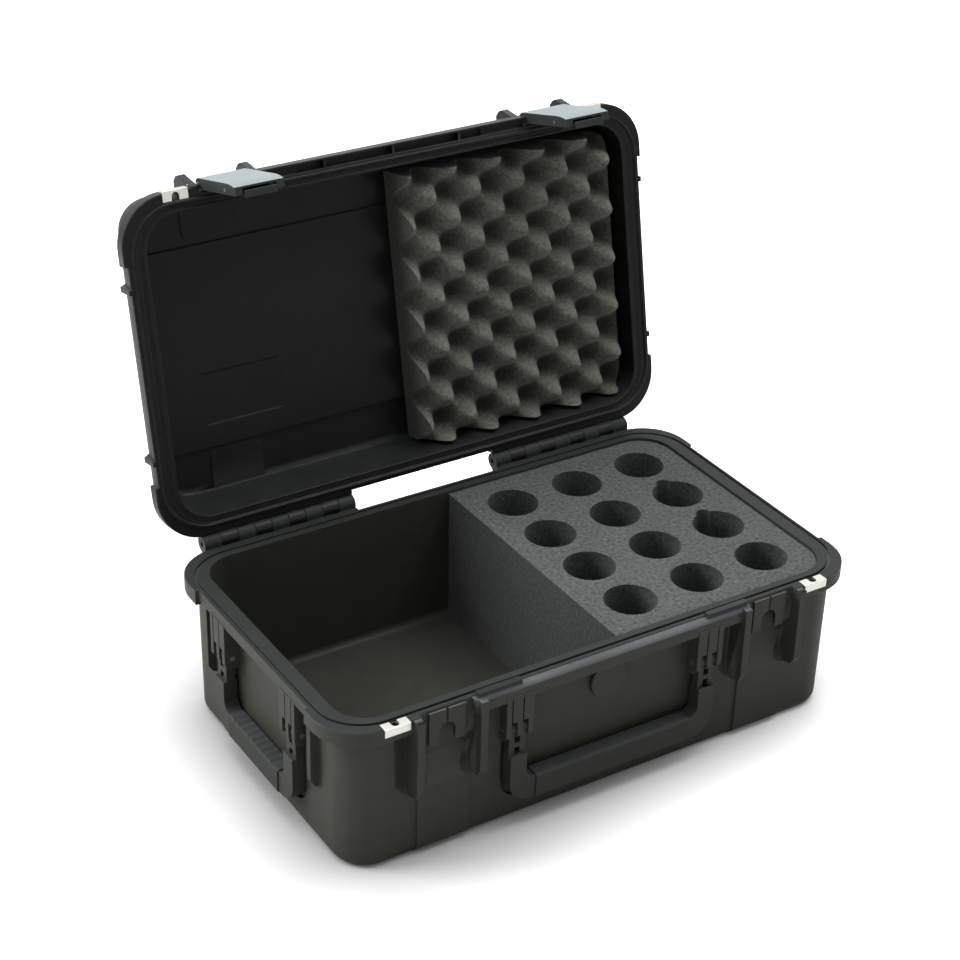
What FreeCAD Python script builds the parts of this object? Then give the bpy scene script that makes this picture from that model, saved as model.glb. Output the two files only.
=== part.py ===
import FreeCAD
import Part
import math
import os

# Hard case with a hinged lid, two draw latches, three handles and foam for microphones.
# Millimetres. X runs along the long side, the front faces -Y, Z is up.
# The origin is on the floor, at the centre of the base. The lid is modelled closed, then turned open.

# Whole case
RIM_HEIGHT = 152.0
BODY_WIDTH = 529.0
BODY_DEPTH = 311.0
BODY_CORNER = 34.0
BASE_LEAN = 1.5
SIDE_WALL = 8.0
FRONT_WALL = 11.0
CAVITY_CORNER = 33.0
CAVITY_LEAN = 3.0
PARTING_GAP = 0.3
OPEN_DEGREES = 101.3
OVERRUN = 5.0
RUNNING_GAP = 0.05
SOFT_GAP = 0.3
EDGE_TOLERANCE = 0.01

# Base bottom
UNDERSIDE_DEPTH = 8.0
FLOOR_THICKNESS = 4.0
SKID_BORDER = 34.0
SKID_RIB_WIDTH = 14.0
SKID_RIB_SHARES = (-0.5, 0, 0.5)
BOTTOM_ROUND = 10.0
INSIDE_ROUND = 7.0
LOW_PAD_WIDTH = 52.0
LOW_PAD_REACH = 2.2
LOW_PAD_CHAMFER = 7.0

# Rim flange
FLANGE_REACH_X = 10.5
FLANGE_REACH_Y = 2.5
FLANGE_CORNER = 50.0
BASE_FLANGE_THICKNESS = 12.0
LID_FLANGE_THICKNESS = 10.0
PAD_REACH_X = 14.0
PAD_REACH_Y = 7.5
PAD_CORNER = 46.0
PAD_EXTRA_THICKNESS = 3.0
PAD_START_X = 198.5
PAD_START_Y = 104.0
FLANGE_ROUND = 1.2

# Tongue, groove and seal
GROOVE_WIDTH = 3.0
GROOVE_DEPTH = 3.0
GROOVE_INSET_X = 2.7
GROOVE_INSET_Y = 3.7
TONGUE_SIDE_GAP = 0.6
TONGUE_HEIGHT = 1.6
SEAL_WIDTH = 4.0
SEAL_HEIGHT = 4.0
SEAL_INSET_X = 7.6
SEAL_INSET_Y = 4.6

# Front beam between the latches
BEAM_HALF_LENGTH = 146.5
BEAM_REACH = 10.5
BEAM_TOP_DROP = 1.0
BASE_BEAM_HEIGHT = 14.0
LID_BEAM_HEIGHT = 14.0
BEAM_CHAMFER = 2.5
CATCH_BAR_START = 99.0
CATCH_BAR_LENGTH = 44.0
CATCH_BAR_DEPTH = 6.0
CATCH_BAR_HEIGHT = 4.0
CATCH_BAR_INSET = 2.6
CATCH_BAR_GAP = 1.2
CHANNEL_DEPTH = 8.0
CHANNEL_LIP = 1.6
CHANNEL_WIDTH = 8.0
CHANNEL_WEB = 2.0
CHANNEL_WEB_SPACING = 72.0

# Upright fins beside the latches
FIN_THICKNESS = 7.0
OUTER_FIN_X = 203.0
INNER_FIN_X = 140.5
FIN_REACH = 15.0
OUTER_FIN_DROP = 81.5
INNER_FIN_DROP = 80.0
FIN_FOOT_SLOPE = 5.0
FIN_FOOT_STEP = 4.0
FIN_FOOT_RISE = 7.0
LID_FIN_SHOULDER = 27.0
LID_FIN_HEIGHT = 38.0
LID_FIN_LEAN = 6.5
LID_FIN_ROUND = 7.0
SCOOP_RADIUS = 30.0

# Pockets in the front wall and the side walls
POCKET_SKIN = 5.0
SIDE_POCKET_SKIN = 3.0
LATCH_POCKET_SILL_DROP = 52.0
LATCH_POCKET_FOOT_DROP = 84.0
HANDLE_POCKET_GAP = 2.8

# Latch keeper that hangs from the base flange
LATCH_X = 172.0
KEEPER_HALF_WIDTH = 18.0
KEEPER_THICKNESS = 3.5
KEEPER_LIP = 1.5
KEEPER_LIP_HEIGHT = 2.5
KEEPER_REACH = 5.5
KEEPER_DROP = 36.0
KEEPER_TOP_DROP = 2.0
KEEPER_ARCH_RADIUS = 8.0
KEEPER_ARCH_DROP = 24.0
KEEPER_SLOT = 2.0
KEEPER_WING_REACH = 2.8

# Latch
LATCH_HALF_WIDTH = 24.0
LATCH_PLATE = 3.0
LATCH_REACH = 13.5
LATCH_PIVOT_REACH = 8.0
LATCH_PIVOT_RISE = 8.0
LATCH_END_DROP = 69.0
LATCH_CURL_HEIGHT = 16.0
LATCH_CURL = 2.5
LATCH_CHEEK = 3.0
LATCH_CHEEK_DEPTH = 7.2
LATCH_EYE_RADIUS = 5.0
LATCH_PIN_RADIUS = 2.0
LATCH_END_WALL = 3.0
LATCH_REST_DEGREES = 4.0
LATCH_WINDOW_LIP = 1.5

# Latch trigger
TRIGGER_PIVOT_REACH = 7.0
TRIGGER_PIVOT_DROP = 48.0
TRIGGER_HALF_WIDTH = 15.5
TRIGGER_PLATE = 2.5
TRIGGER_BOSS_RADIUS = 3.0
TRIGGER_PIN_RADIUS = 1.5
TRIGGER_LEVER_DROP = 22.0
TRIGGER_LEVER_SLOPE = 5.0
TRIGGER_LIP_HEIGHT = 2.5
TRIGGER_LIP_REACH = 4.0
HOOK_HEIGHT = 3.0
HOOK_GAP = 0.6
BARB_GAP = 0.3
BARB_THICKNESS = 1.2
BARB_RISE = 1.0
SPRING_WIRE = 0.7
SPRING_RADIUS = 2.6
SPRING_PITCH = 1.25
SPRING_TURNS = 3
SPRING_STEPS = 8
SPRING_LEG = 5.0
SPRING_SIDE_GAP = 0.7

# Padlock plates
PADLOCK_X = 222.0
PADLOCK_PLATE_WIDTH = 25.0
PADLOCK_SHEET = 1.5
PADLOCK_LIP = 8.0
PADLOCK_HOLE_RADIUS = 3.2
PADLOCK_HOLE_INSET = 4.2
PADLOCK_PLATE_HOLE_RADIUS = 3.6
PADLOCK_BACK_GAP = 0.4

# Hinge
HINGE_REACH = 14.5
HINGE_RISE = 2.7
HINGE_START = 80.0
HINGE_LENGTH = 160.0
KNUCKLE_COUNT = 9
KNUCKLE_GAP = 0.4
KNUCKLE_RADIUS = 8.0
KNUCKLE_ROOT = 2.0
KNUCKLE_FOOT = 8.0
HINGE_PIN_RADIUS = 2.5
HINGE_PIN_END = 2.0
GUSSET_THICKNESS = 5.0
GUSSET_REACH = 9.5
GUSSET_DROP = 44.0
GUSSET_SHARES = (0, 0.5, 1)

# Handles
HANDLE_PIVOT_DROP = 47.0
HANDLE_PIVOT_REACH = 3.1
HANDLE_DROP = 78.0
HANDLE_BAR = 22.0
HANDLE_THICKNESS = 14.0
HANDLE_SUNK = 3.0
HANDLE_OUTER_ROUND = 22.0
HANDLE_INNER_ROUND = 10.0
HANDLE_ARM_TOP_DROP = 27.0
HANDLE_WEB_DROP = 15.0
HANDLE_WEB = 5.0
LUG_WIDTH = 5.6
LUG_RADIUS = 6.2
LUG_THICKNESS = 9.0
LUG_GAP = 0.35
CLEVIS_FIN = 5.0
CLEVIS_REACH = 11.1
CLEVIS_FIN_DROP = 11.0
CLEVIS_COVER = 1.6
CLEVIS_COVER_RISE = 10.0
CLEVIS_COVER_SLIT = 1.4
CLEVIS_CHAMFER = 6.0
HANDLE_PIN_RADIUS = 2.5
FRONT_CLEVIS_START = 88.0
SIDE_CLEVIS_START = 53.0
GRIP_SKIN = 1.4
GRIP_BAR_GAP = 0.02
SCALLOP_PITCH = 9.0
SCALLOP_DEPTH = 0.8
SCALLOP_RADIUS = 8.0
SIDE_FIN_Y = 99.0
SIDE_FIN_THICKNESS = 6.0
SIDE_FIN_REACH = 7.5
SIDE_FIN_DROP = 86.0

# Lid
LID_HEIGHT = 58.0
LID_LEAN = 4.5
ROOF_WALL = 4.0
ROOF_ROUND = 9.0
PANEL_HALF_DEPTH = 98.0
PANEL_STEP = 3.0
PANEL_OUTSIDE_MARGIN = 22.0
LABEL_WIDTH = 80.0
LABEL_DEPTH = 50.0
LABEL_CENTRE_X = -158.0
LABEL_CENTRE_Y = 50.0
LABEL_RECESS = 0.6
EMBOSS_HALF_WIDTH = 27.0
EMBOSS_LENGTH = 40.0
EMBOSS_CORNER = 12.0
EMBOSS_HEIGHT = 2.0
LID_RIB_Y = 81.0
LID_RIB_THICKNESS = 5.0
LID_RIB_HEIGHT = 40.0
LID_RIB_REACH = 13.0

# Pressure vent on the front wall
VENT_DROP = 37.0
VENT_SEAT_RADIUS = 20.5
VENT_SEAT_THICKNESS = 0.8
VENT_BODY_RADIUS = 16.0
VENT_BODY_THICKNESS = 1.6
VENT_CAP_RADIUS = 19.0
VENT_CAP_THICKNESS = 2.4
VENT_STEM_RADIUS = 5.9
VENT_STEM_LENGTH = 12.0
VENT_HOLE_RADIUS = 6.2
VENT_NUT_RADIUS = 9.5
VENT_NUT_THICKNESS = 3.0

# Foam
FOAM_LEFT = 14.0
FOAM_TOP_DROP = 3.0
FOAM_PAD_THICKNESS = 12.0
HOLE_RADIUS = 25.0
HOLE_COLUMNS = 3
HOLE_ROWS = 4
HOLE_PITCH_X = 75.0
HOLE_PITCH_Y = 66.0
HOLE_FIRST_X = 59.5
KEYHOLE_RADIUS = 8.0
KEYHOLE_OFFSET = 23.0
KEYHOLE_ROWS = (1, 2)
LID_FOAM_LEFT = 14.0
LID_FOAM_WIDTH = 240.0
LID_FOAM_DEPTH = 270.0
LID_FOAM_CENTRE_Y = 4.0
LID_FOAM_THICKNESS = 50.0
LID_FOAM_WEB = 14.0
LID_FOAM_PITCH = 50.0
LID_FOAM_SAMPLES = 8

# Places worked out from the sizes above
half_width = BODY_WIDTH / 2
half_depth = BODY_DEPTH / 2
floor_top = UNDERSIDE_DEPTH + FLOOR_THICKNESS
flange_x = half_width + FLANGE_REACH_X
flange_y = half_depth + FLANGE_REACH_Y
pad_x = half_width + PAD_REACH_X
pad_y = half_depth + PAD_REACH_Y
beam_y = half_depth + BEAM_REACH
lid_base = RIM_HEIGHT + PARTING_GAP
lid_top = lid_base + LID_HEIGHT
roof_inside = lid_top - ROOF_WALL
panel_inside = roof_inside - PANEL_STEP
hinge_y = half_depth + HINGE_REACH
hinge_z = RIM_HEIGHT + HINGE_RISE
knuckle_pitch = HINGE_LENGTH / KNUCKLE_COUNT
inner_half_x = half_width - SIDE_WALL
inner_half_y = half_depth - FRONT_WALL
pocket_y = inner_half_y + POCKET_SKIN
pocket_x = inner_half_x + SIDE_POCKET_SKIN
root_y = inner_half_y + POCKET_SKIN / 2
latch_face_y = half_depth + LATCH_REACH
latch_inner_y = latch_face_y - LATCH_PLATE
latch_pivot_y = half_depth + LATCH_PIVOT_REACH
latch_pivot_z = RIM_HEIGHT + LATCH_PIVOT_RISE
latch_end_z = RIM_HEIGHT - LATCH_END_DROP
trigger_y = half_depth + TRIGGER_PIVOT_REACH
trigger_z = RIM_HEIGHT - TRIGGER_PIVOT_DROP
keeper_y = half_depth + KEEPER_REACH
keeper_z = RIM_HEIGHT - KEEPER_DROP
foam_top = RIM_HEIGHT - FOAM_TOP_DROP
pad_top = floor_top + FOAM_PAD_THICKNESS
lug_pitch = CLEVIS_FIN + LUG_GAP + LUG_WIDTH + LUG_GAP
vent_face_y = pocket_y + VENT_SEAT_THICKNESS
vent_z = RIM_HEIGHT - VENT_DROP
lug_span = LUG_WIDTH * 2 + LUG_GAP * 2 + CLEVIS_FIN
front_arm_end = FRONT_CLEVIS_START + CLEVIS_FIN + lug_span
side_arm_end = SIDE_CLEVIS_START + CLEVIS_FIN + lug_span
handle_pivot_z = RIM_HEIGHT - HANDLE_PIVOT_DROP
handle_bottom = handle_pivot_z - HANDLE_DROP
outer_fin_foot = RIM_HEIGHT - OUTER_FIN_DROP
inner_fin_foot = RIM_HEIGHT - INNER_FIN_DROP
side_fin_foot = RIM_HEIGHT - SIDE_FIN_DROP
flange_bottom = RIM_HEIGHT - BASE_FLANGE_THICKNESS
X_AXIS = FreeCAD.Vector(1, 0, 0)
Y_AXIS = FreeCAD.Vector(0, 1, 0)
Z_AXIS = FreeCAD.Vector(0, 0, 1)
ORIGIN = FreeCAD.Vector(0, 0, 0)


# Small shape helpers
def block(x0, x1, y0, y1, z0, z1):
    """A box between two corners."""
    corner = FreeCAD.Vector(min(x0, x1), min(y0, y1), min(z0, z1))
    return Part.makeBox(abs(x1 - x0), abs(y1 - y0), abs(z1 - z0), corner)


def rounded_wire(half_x, half_y, corner, z):
    """A rectangle with round corners, flat at height z."""
    bulge = corner * math.sqrt(0.5)
    edges = []
    signs = ((1, 1), (-1, 1), (-1, -1), (1, -1))
    for index, (sx, sy) in enumerate(signs):
        centre_x = sx * (half_x - corner)
        centre_y = sy * (half_y - corner)
        on_x = FreeCAD.Vector(sx * half_x, centre_y, z)
        on_y = FreeCAD.Vector(centre_x, sy * half_y, z)
        middle = FreeCAD.Vector(centre_x + sx * bulge, centre_y + sy * bulge, z)
        start, end = (on_x, on_y) if index % 2 == 0 else (on_y, on_x)
        edges.append((start, middle, end))
    parts = []
    for index, (start, middle, end) in enumerate(edges):
        parts.append(Part.Arc(start, middle, end).toShape())
        following = edges[(index + 1) % len(edges)][0]
        parts.append(Part.makeLine(end, following))
    return Part.Wire(parts)


def tapered(low, high):
    """A solid between two rounded rectangles, each given as half x, half y, corner, z."""
    return Part.makeLoft([rounded_wire(*low), rounded_wire(*high)], True, True)


def straight(half_x, half_y, corner, z0, z1):
    """A straight prism on a rounded rectangle."""
    face = Part.Face(rounded_wire(half_x, half_y, corner, z0))
    return face.extrude(Z_AXIS * (z1 - z0))


def ring(half_x, half_y, corner, width, z0, z1):
    """A band of even width inside a rounded rectangle."""
    outer = straight(half_x, half_y, corner, z0, z1)
    inner = straight(half_x - width, half_y - width, corner - width, z0 - width, z1 + width)
    return outer.cut(inner)


def profile_x(points, x0, x1):
    """A prism along X on a polygon of (y, z) points."""
    corners = [FreeCAD.Vector(min(x0, x1), y, z) for y, z in points]
    face = Part.Face(Part.makePolygon(corners + corners[:1]))
    return face.extrude(X_AXIS * abs(x1 - x0))


def rod_x(radius, x0, x1, y, z):
    """A round bar along X."""
    return Part.makeCylinder(radius, abs(x1 - x0), FreeCAD.Vector(min(x0, x1), y, z), X_AXIS)


def rod_y(radius, x, y0, y1, z):
    """A round bar along Y."""
    return Part.makeCylinder(radius, abs(y1 - y0), FreeCAD.Vector(x, min(y0, y1), z), Y_AXIS)


def rod_z(radius, x, y, z0, z1):
    """A round bar along Z."""
    return Part.makeCylinder(radius, abs(z1 - z0), FreeCAD.Vector(x, y, min(z0, z1)), Z_AXIS)


def mirrored(shape):
    """The same shape on the other side of the middle plane."""
    return shape.mirror(ORIGIN, X_AXIS)


def both(shapes):
    """Each shape with its mirror image."""
    return shapes + [mirrored(shape) for shape in shapes]


def joined(shapes):
    """One solid from shapes that overlap."""
    return shapes[0].multiFuse(shapes[1:]).removeSplitter()


def opened(shape):
    """A shape of the closed lid, turned with it to the open rest place."""
    turned = shape.copy()
    turned.rotate(FreeCAD.Vector(0, hinge_y, hinge_z), X_AXIS, -OPEN_DEGREES)
    return turned


def front_plate(x, half_length, z0, z1, corner, y0, y1):
    """A rectangle with round corners in the front's plane, between two y values."""
    half_height = (z1 - z0) / 2
    plate = straight(half_length, half_height, corner, 0, abs(y1 - y0))
    plate.rotate(ORIGIN, X_AXIS, 90)
    plate.translate(FreeCAD.Vector(x, max(y0, y1), z0 + half_height))
    return plate


def edges_at(shape, z):
    """The edges that lie flat at height z."""
    flat = []
    for edge in shape.Edges:
        box = edge.BoundBox
        if abs(box.ZMin - z) < EDGE_TOLERANCE and abs(box.ZMax - z) < EDGE_TOLERANCE:
            flat.append(edge)
    return flat


def save(name, shape):
    """Write one node."""
    shape.exportStep(os.path.join("parts", name + ".step"))
    volume = round(sum(solid.Volume for solid in shape.Solids))
    print(name, "solids", len(shape.Solids), "volume", volume, "valid", shape.isValid())


# Walls of the base and the lid
def cavity_lean(z):
    """How far the base's inner wall leans in at height z."""
    return CAVITY_LEAN * (1 - z / RIM_HEIGHT)


def base_inside(inset, z0, z1):
    """The space between the base walls, less an inset all round."""
    low = cavity_lean(z0) + inset
    high = cavity_lean(z1) + inset
    low_wire = (inner_half_x - low, inner_half_y - low, CAVITY_CORNER - low, z0)
    high_wire = (inner_half_x - high, inner_half_y - high, CAVITY_CORNER - high, z1)
    return tapered(low_wire, high_wire)


def flange(z0, z1, pad_z0, pad_z1):
    """The rim flange with its four thicker corner pads, rounded along the outer edges."""
    plate = straight(flange_x, flange_y, FLANGE_CORNER, z0, z1)
    plate = plate.makeFillet(FLANGE_ROUND, edges_at(plate, z0) + edges_at(plate, z1))
    full_pad = straight(pad_x, pad_y, PAD_CORNER, pad_z0, pad_z1)
    full_pad = full_pad.makeFillet(FLANGE_ROUND, edges_at(full_pad, pad_z0) + edges_at(full_pad, pad_z1))
    shapes = [plate]
    for sx in (-1, 1):
        for sy, start in ((-1, PAD_START_X), (1, HINGE_START + HINGE_LENGTH + KNUCKLE_GAP)):
            far_x = sx * (pad_x + OVERRUN)
            far_y = sy * (pad_y + OVERRUN)
            corner = block(sx * start, far_x, sy * PAD_START_Y, far_y, pad_z0, pad_z1)
            shapes.append(full_pad.common(corner))
    return shapes


def groove_ring(width, z0, z1):
    """A band centred on the rim groove."""
    spread = (GROOVE_WIDTH - width) / 2
    half_x = flange_x - GROOVE_INSET_X - spread
    half_y = flange_y - GROOVE_INSET_Y - spread
    return ring(half_x, half_y, FLANGE_CORNER - GROOVE_INSET_Y - spread, width, z0, z1)


def seal_ring(z0, z1):
    """The band that the seal fills."""
    corner = FLANGE_CORNER - SEAL_INSET_X - SEAL_INSET_Y + SEAL_WIDTH
    half_y = flange_y - SEAL_INSET_Y - GROOVE_WIDTH
    half_x = flange_x - SEAL_INSET_X - GROOVE_WIDTH
    return ring(half_x, half_y, corner, SEAL_WIDTH, z0, z1)


# Front and side details that the base carries
def base_fin(x, foot):
    """An upright fin on the front wall, from the rim down to its foot."""
    front = -(half_depth + FIN_REACH)
    top = RIM_HEIGHT - BEAM_TOP_DROP
    points = [(-root_y, top), (front, top), (front, foot + FIN_FOOT_RISE)]
    points += [(front + FIN_FOOT_STEP, foot), (-root_y, foot - FIN_FOOT_SLOPE)]
    return profile_x(points, x - FIN_THICKNESS / 2, x + FIN_THICKNESS / 2)


def scoop(x, foot):
    """A shallow upright hollow in the front wall on both sides of a fin, with a round foot."""
    centre_y = -(pocket_y + SCOOP_RADIUS)
    foot_z = foot + SCOOP_RADIUS / 2
    hollow = rod_z(SCOOP_RADIUS, x, centre_y, foot_z, flange_bottom)
    end = Part.makeSphere(SCOOP_RADIUS, FreeCAD.Vector(x, centre_y, foot_z))
    return hollow.fuse(end)


def pockets():
    """The sunk places in the front wall: round the handle, behind the latches and beside the fins."""
    far = -(pad_y + OVERRUN)
    handle = front_plate(0, front_arm_end + HANDLE_POCKET_GAP, handle_bottom - HANDLE_POCKET_GAP,
                         flange_bottom, HANDLE_OUTER_ROUND, far, -pocket_y)
    face = -(half_depth + LOW_PAD_REACH)
    sill = RIM_HEIGHT - LATCH_POCKET_SILL_DROP
    foot = RIM_HEIGHT - LATCH_POCKET_FOOT_DROP
    points = [(far, flange_bottom), (-pocket_y, flange_bottom), (-pocket_y, sill), (face, foot), (far, foot)]
    latch = profile_x(points, INNER_FIN_X, OUTER_FIN_X)
    return [handle] + both([latch, scoop(OUTER_FIN_X, outer_fin_foot), scoop(INNER_FIN_X, inner_fin_foot)])


def side_pocket():
    """The sunk place round a side handle, drawn on the front."""
    sink = half_depth - half_width + pocket_x
    return front_plate(0, side_arm_end + HANDLE_POCKET_GAP, handle_bottom - HANDLE_POCKET_GAP,
                       flange_bottom, HANDLE_OUTER_ROUND, -(pad_y + OVERRUN), -sink)


def low_pad():
    """The thicker strip of the front wall behind and below a latch."""
    top_face = -(half_depth + LOW_PAD_REACH)
    low_face = top_face + BASE_LEAN
    points = [(-root_y, flange_bottom), (top_face, flange_bottom), (low_face, LOW_PAD_CHAMFER)]
    points += [(low_face + LOW_PAD_CHAMFER, 0), (-root_y, 0)]
    return profile_x(points, LATCH_X - LOW_PAD_WIDTH / 2, LATCH_X + LOW_PAD_WIDTH / 2)


def keeper():
    """The plate that the latch hook holds on to, with a wing to the fin on each side."""
    front = -keeper_y
    back = front + KEEPER_THICKNESS
    left = LATCH_X - KEEPER_HALF_WIDTH
    right = LATCH_X + KEEPER_HALF_WIDTH
    plate = block(left, right, front, back, keeper_z, RIM_HEIGHT - KEEPER_TOP_DROP)
    behind = block(left - OVERRUN, right + OVERRUN, front + KEEPER_LIP, back + OVERRUN,
                   keeper_z - OVERRUN, keeper_z + KEEPER_LIP_HEIGHT)
    arch_z = RIM_HEIGHT - KEEPER_ARCH_DROP
    arch = rod_y(KEEPER_ARCH_RADIUS, LATCH_X, front - OVERRUN, back + OVERRUN, arch_z)
    gate = block(LATCH_X - KEEPER_ARCH_RADIUS, LATCH_X + KEEPER_ARCH_RADIUS, front - OVERRUN,
                 back + OVERRUN, keeper_z - OVERRUN, arch_z)
    top = RIM_HEIGHT - KEEPER_TOP_DROP
    slot = block(LATCH_X - KEEPER_SLOT / 2, LATCH_X + KEEPER_SLOT / 2, front - OVERRUN, back + OVERRUN,
                 arch_z, top + OVERRUN)
    wing_front = -(half_depth + KEEPER_WING_REACH)
    wings = [block(INNER_FIN_X, left, wing_front, -pocket_y, keeper_z, flange_bottom + KNUCKLE_ROOT),
             block(right, OUTER_FIN_X, wing_front, -pocket_y, keeper_z, flange_bottom + KNUCKLE_ROOT)]
    return [plate.cut([behind, arch, gate, slot])] + wings


def clevis(start):
    """Three fins and two covers that hold one handle arm."""
    front = -(half_depth + CLEVIS_REACH)
    top = flange_bottom + KNUCKLE_ROOT
    foot = handle_pivot_z - CLEVIS_FIN_DROP
    points = [(-root_y, top), (front, top), (front, foot + CLEVIS_CHAMFER), (front + CLEVIS_CHAMFER, foot)]
    points.append((-root_y, foot))
    shapes = []
    for index in range(3):
        x = start + index * lug_pitch
        shapes.append(profile_x(points, x, x + CLEVIS_FIN))
    for index in range(2):
        x = start + index * lug_pitch + CLEVIS_FIN
        cover_end = x + LUG_WIDTH + LUG_GAP + LUG_GAP - CLEVIS_COVER_SLIT
        shapes.append(block(x - CLEVIS_FIN / 2, cover_end, front, front + CLEVIS_COVER,
                            handle_pivot_z + CLEVIS_COVER_RISE, top))
    hole = rod_x(HANDLE_PIN_RADIUS + RUNNING_GAP, start - OVERRUN, start + lug_pitch * 3,
                 -(half_depth + HANDLE_PIVOT_REACH), handle_pivot_z)
    return joined(shapes).cut(hole)


def on_side(shape, side):
    """A front detail moved to a side wall: side is -1 for the left and 1 for the right."""
    turned = shape.copy()
    turned.rotate(ORIGIN, Z_AXIS, side * 90)
    turned.translate(X_AXIS * side * (half_width - half_depth))
    return turned


def hinge_knuckles(first, up):
    """Every second knuckle of both hinges and the strip behind them. up is 1 on the lid, -1 on the base."""
    root = flange_y - KNUCKLE_ROOT
    face = lid_base if up > 0 else RIM_HEIGHT
    depth = LID_FLANGE_THICKNESS if up > 0 else BASE_FLANGE_THICKNESS
    near = face + up * PARTING_GAP
    far = face + up * depth
    points = [(root, far), (root + KNUCKLE_FOOT + KNUCKLE_ROOT, far), (hinge_y + KNUCKLE_RADIUS, hinge_z)]
    points += [(hinge_y - KNUCKLE_RADIUS, hinge_z), (hinge_y - KNUCKLE_RADIUS, near), (root, near)]
    strip_y = hinge_y - KNUCKLE_RADIUS - KNUCKLE_GAP
    shapes = [block(HINGE_START, HINGE_START + HINGE_LENGTH, root, strip_y, face, far)]
    for index in range(first, KNUCKLE_COUNT, 2):
        x0 = HINGE_START + index * knuckle_pitch + KNUCKLE_GAP / 2
        x1 = HINGE_START + (index + 1) * knuckle_pitch - KNUCKLE_GAP / 2
        shapes.append(profile_x(points, x0, x1))
        shapes.append(rod_x(KNUCKLE_RADIUS, x0, x1, hinge_y, hinge_z))
    return both(shapes)


def hinge_bores():
    """The pin holes through both hinges."""
    x0 = HINGE_START - OVERRUN
    x1 = HINGE_START + HINGE_LENGTH + OVERRUN
    return both([rod_x(HINGE_PIN_RADIUS + RUNNING_GAP, x0, x1, hinge_y, hinge_z)])


def padlock_hole(z0, z1):
    """The hole for a padlock shackle, through a corner pad."""
    return rod_z(PADLOCK_HOLE_RADIUS, PADLOCK_X, -(pad_y - PADLOCK_HOLE_INSET), z0, z1)


def padlock_recess(z0, z1):
    """The seat for a padlock plate in a corner pad's face."""
    half = PADLOCK_PLATE_WIDTH / 2 + RUNNING_GAP
    back = -(flange_y - GROOVE_INSET_Y + PADLOCK_BACK_GAP) + RUNNING_GAP
    return block(PADLOCK_X - half, PADLOCK_X + half, -(pad_y + OVERRUN), back, z0, z1)


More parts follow.
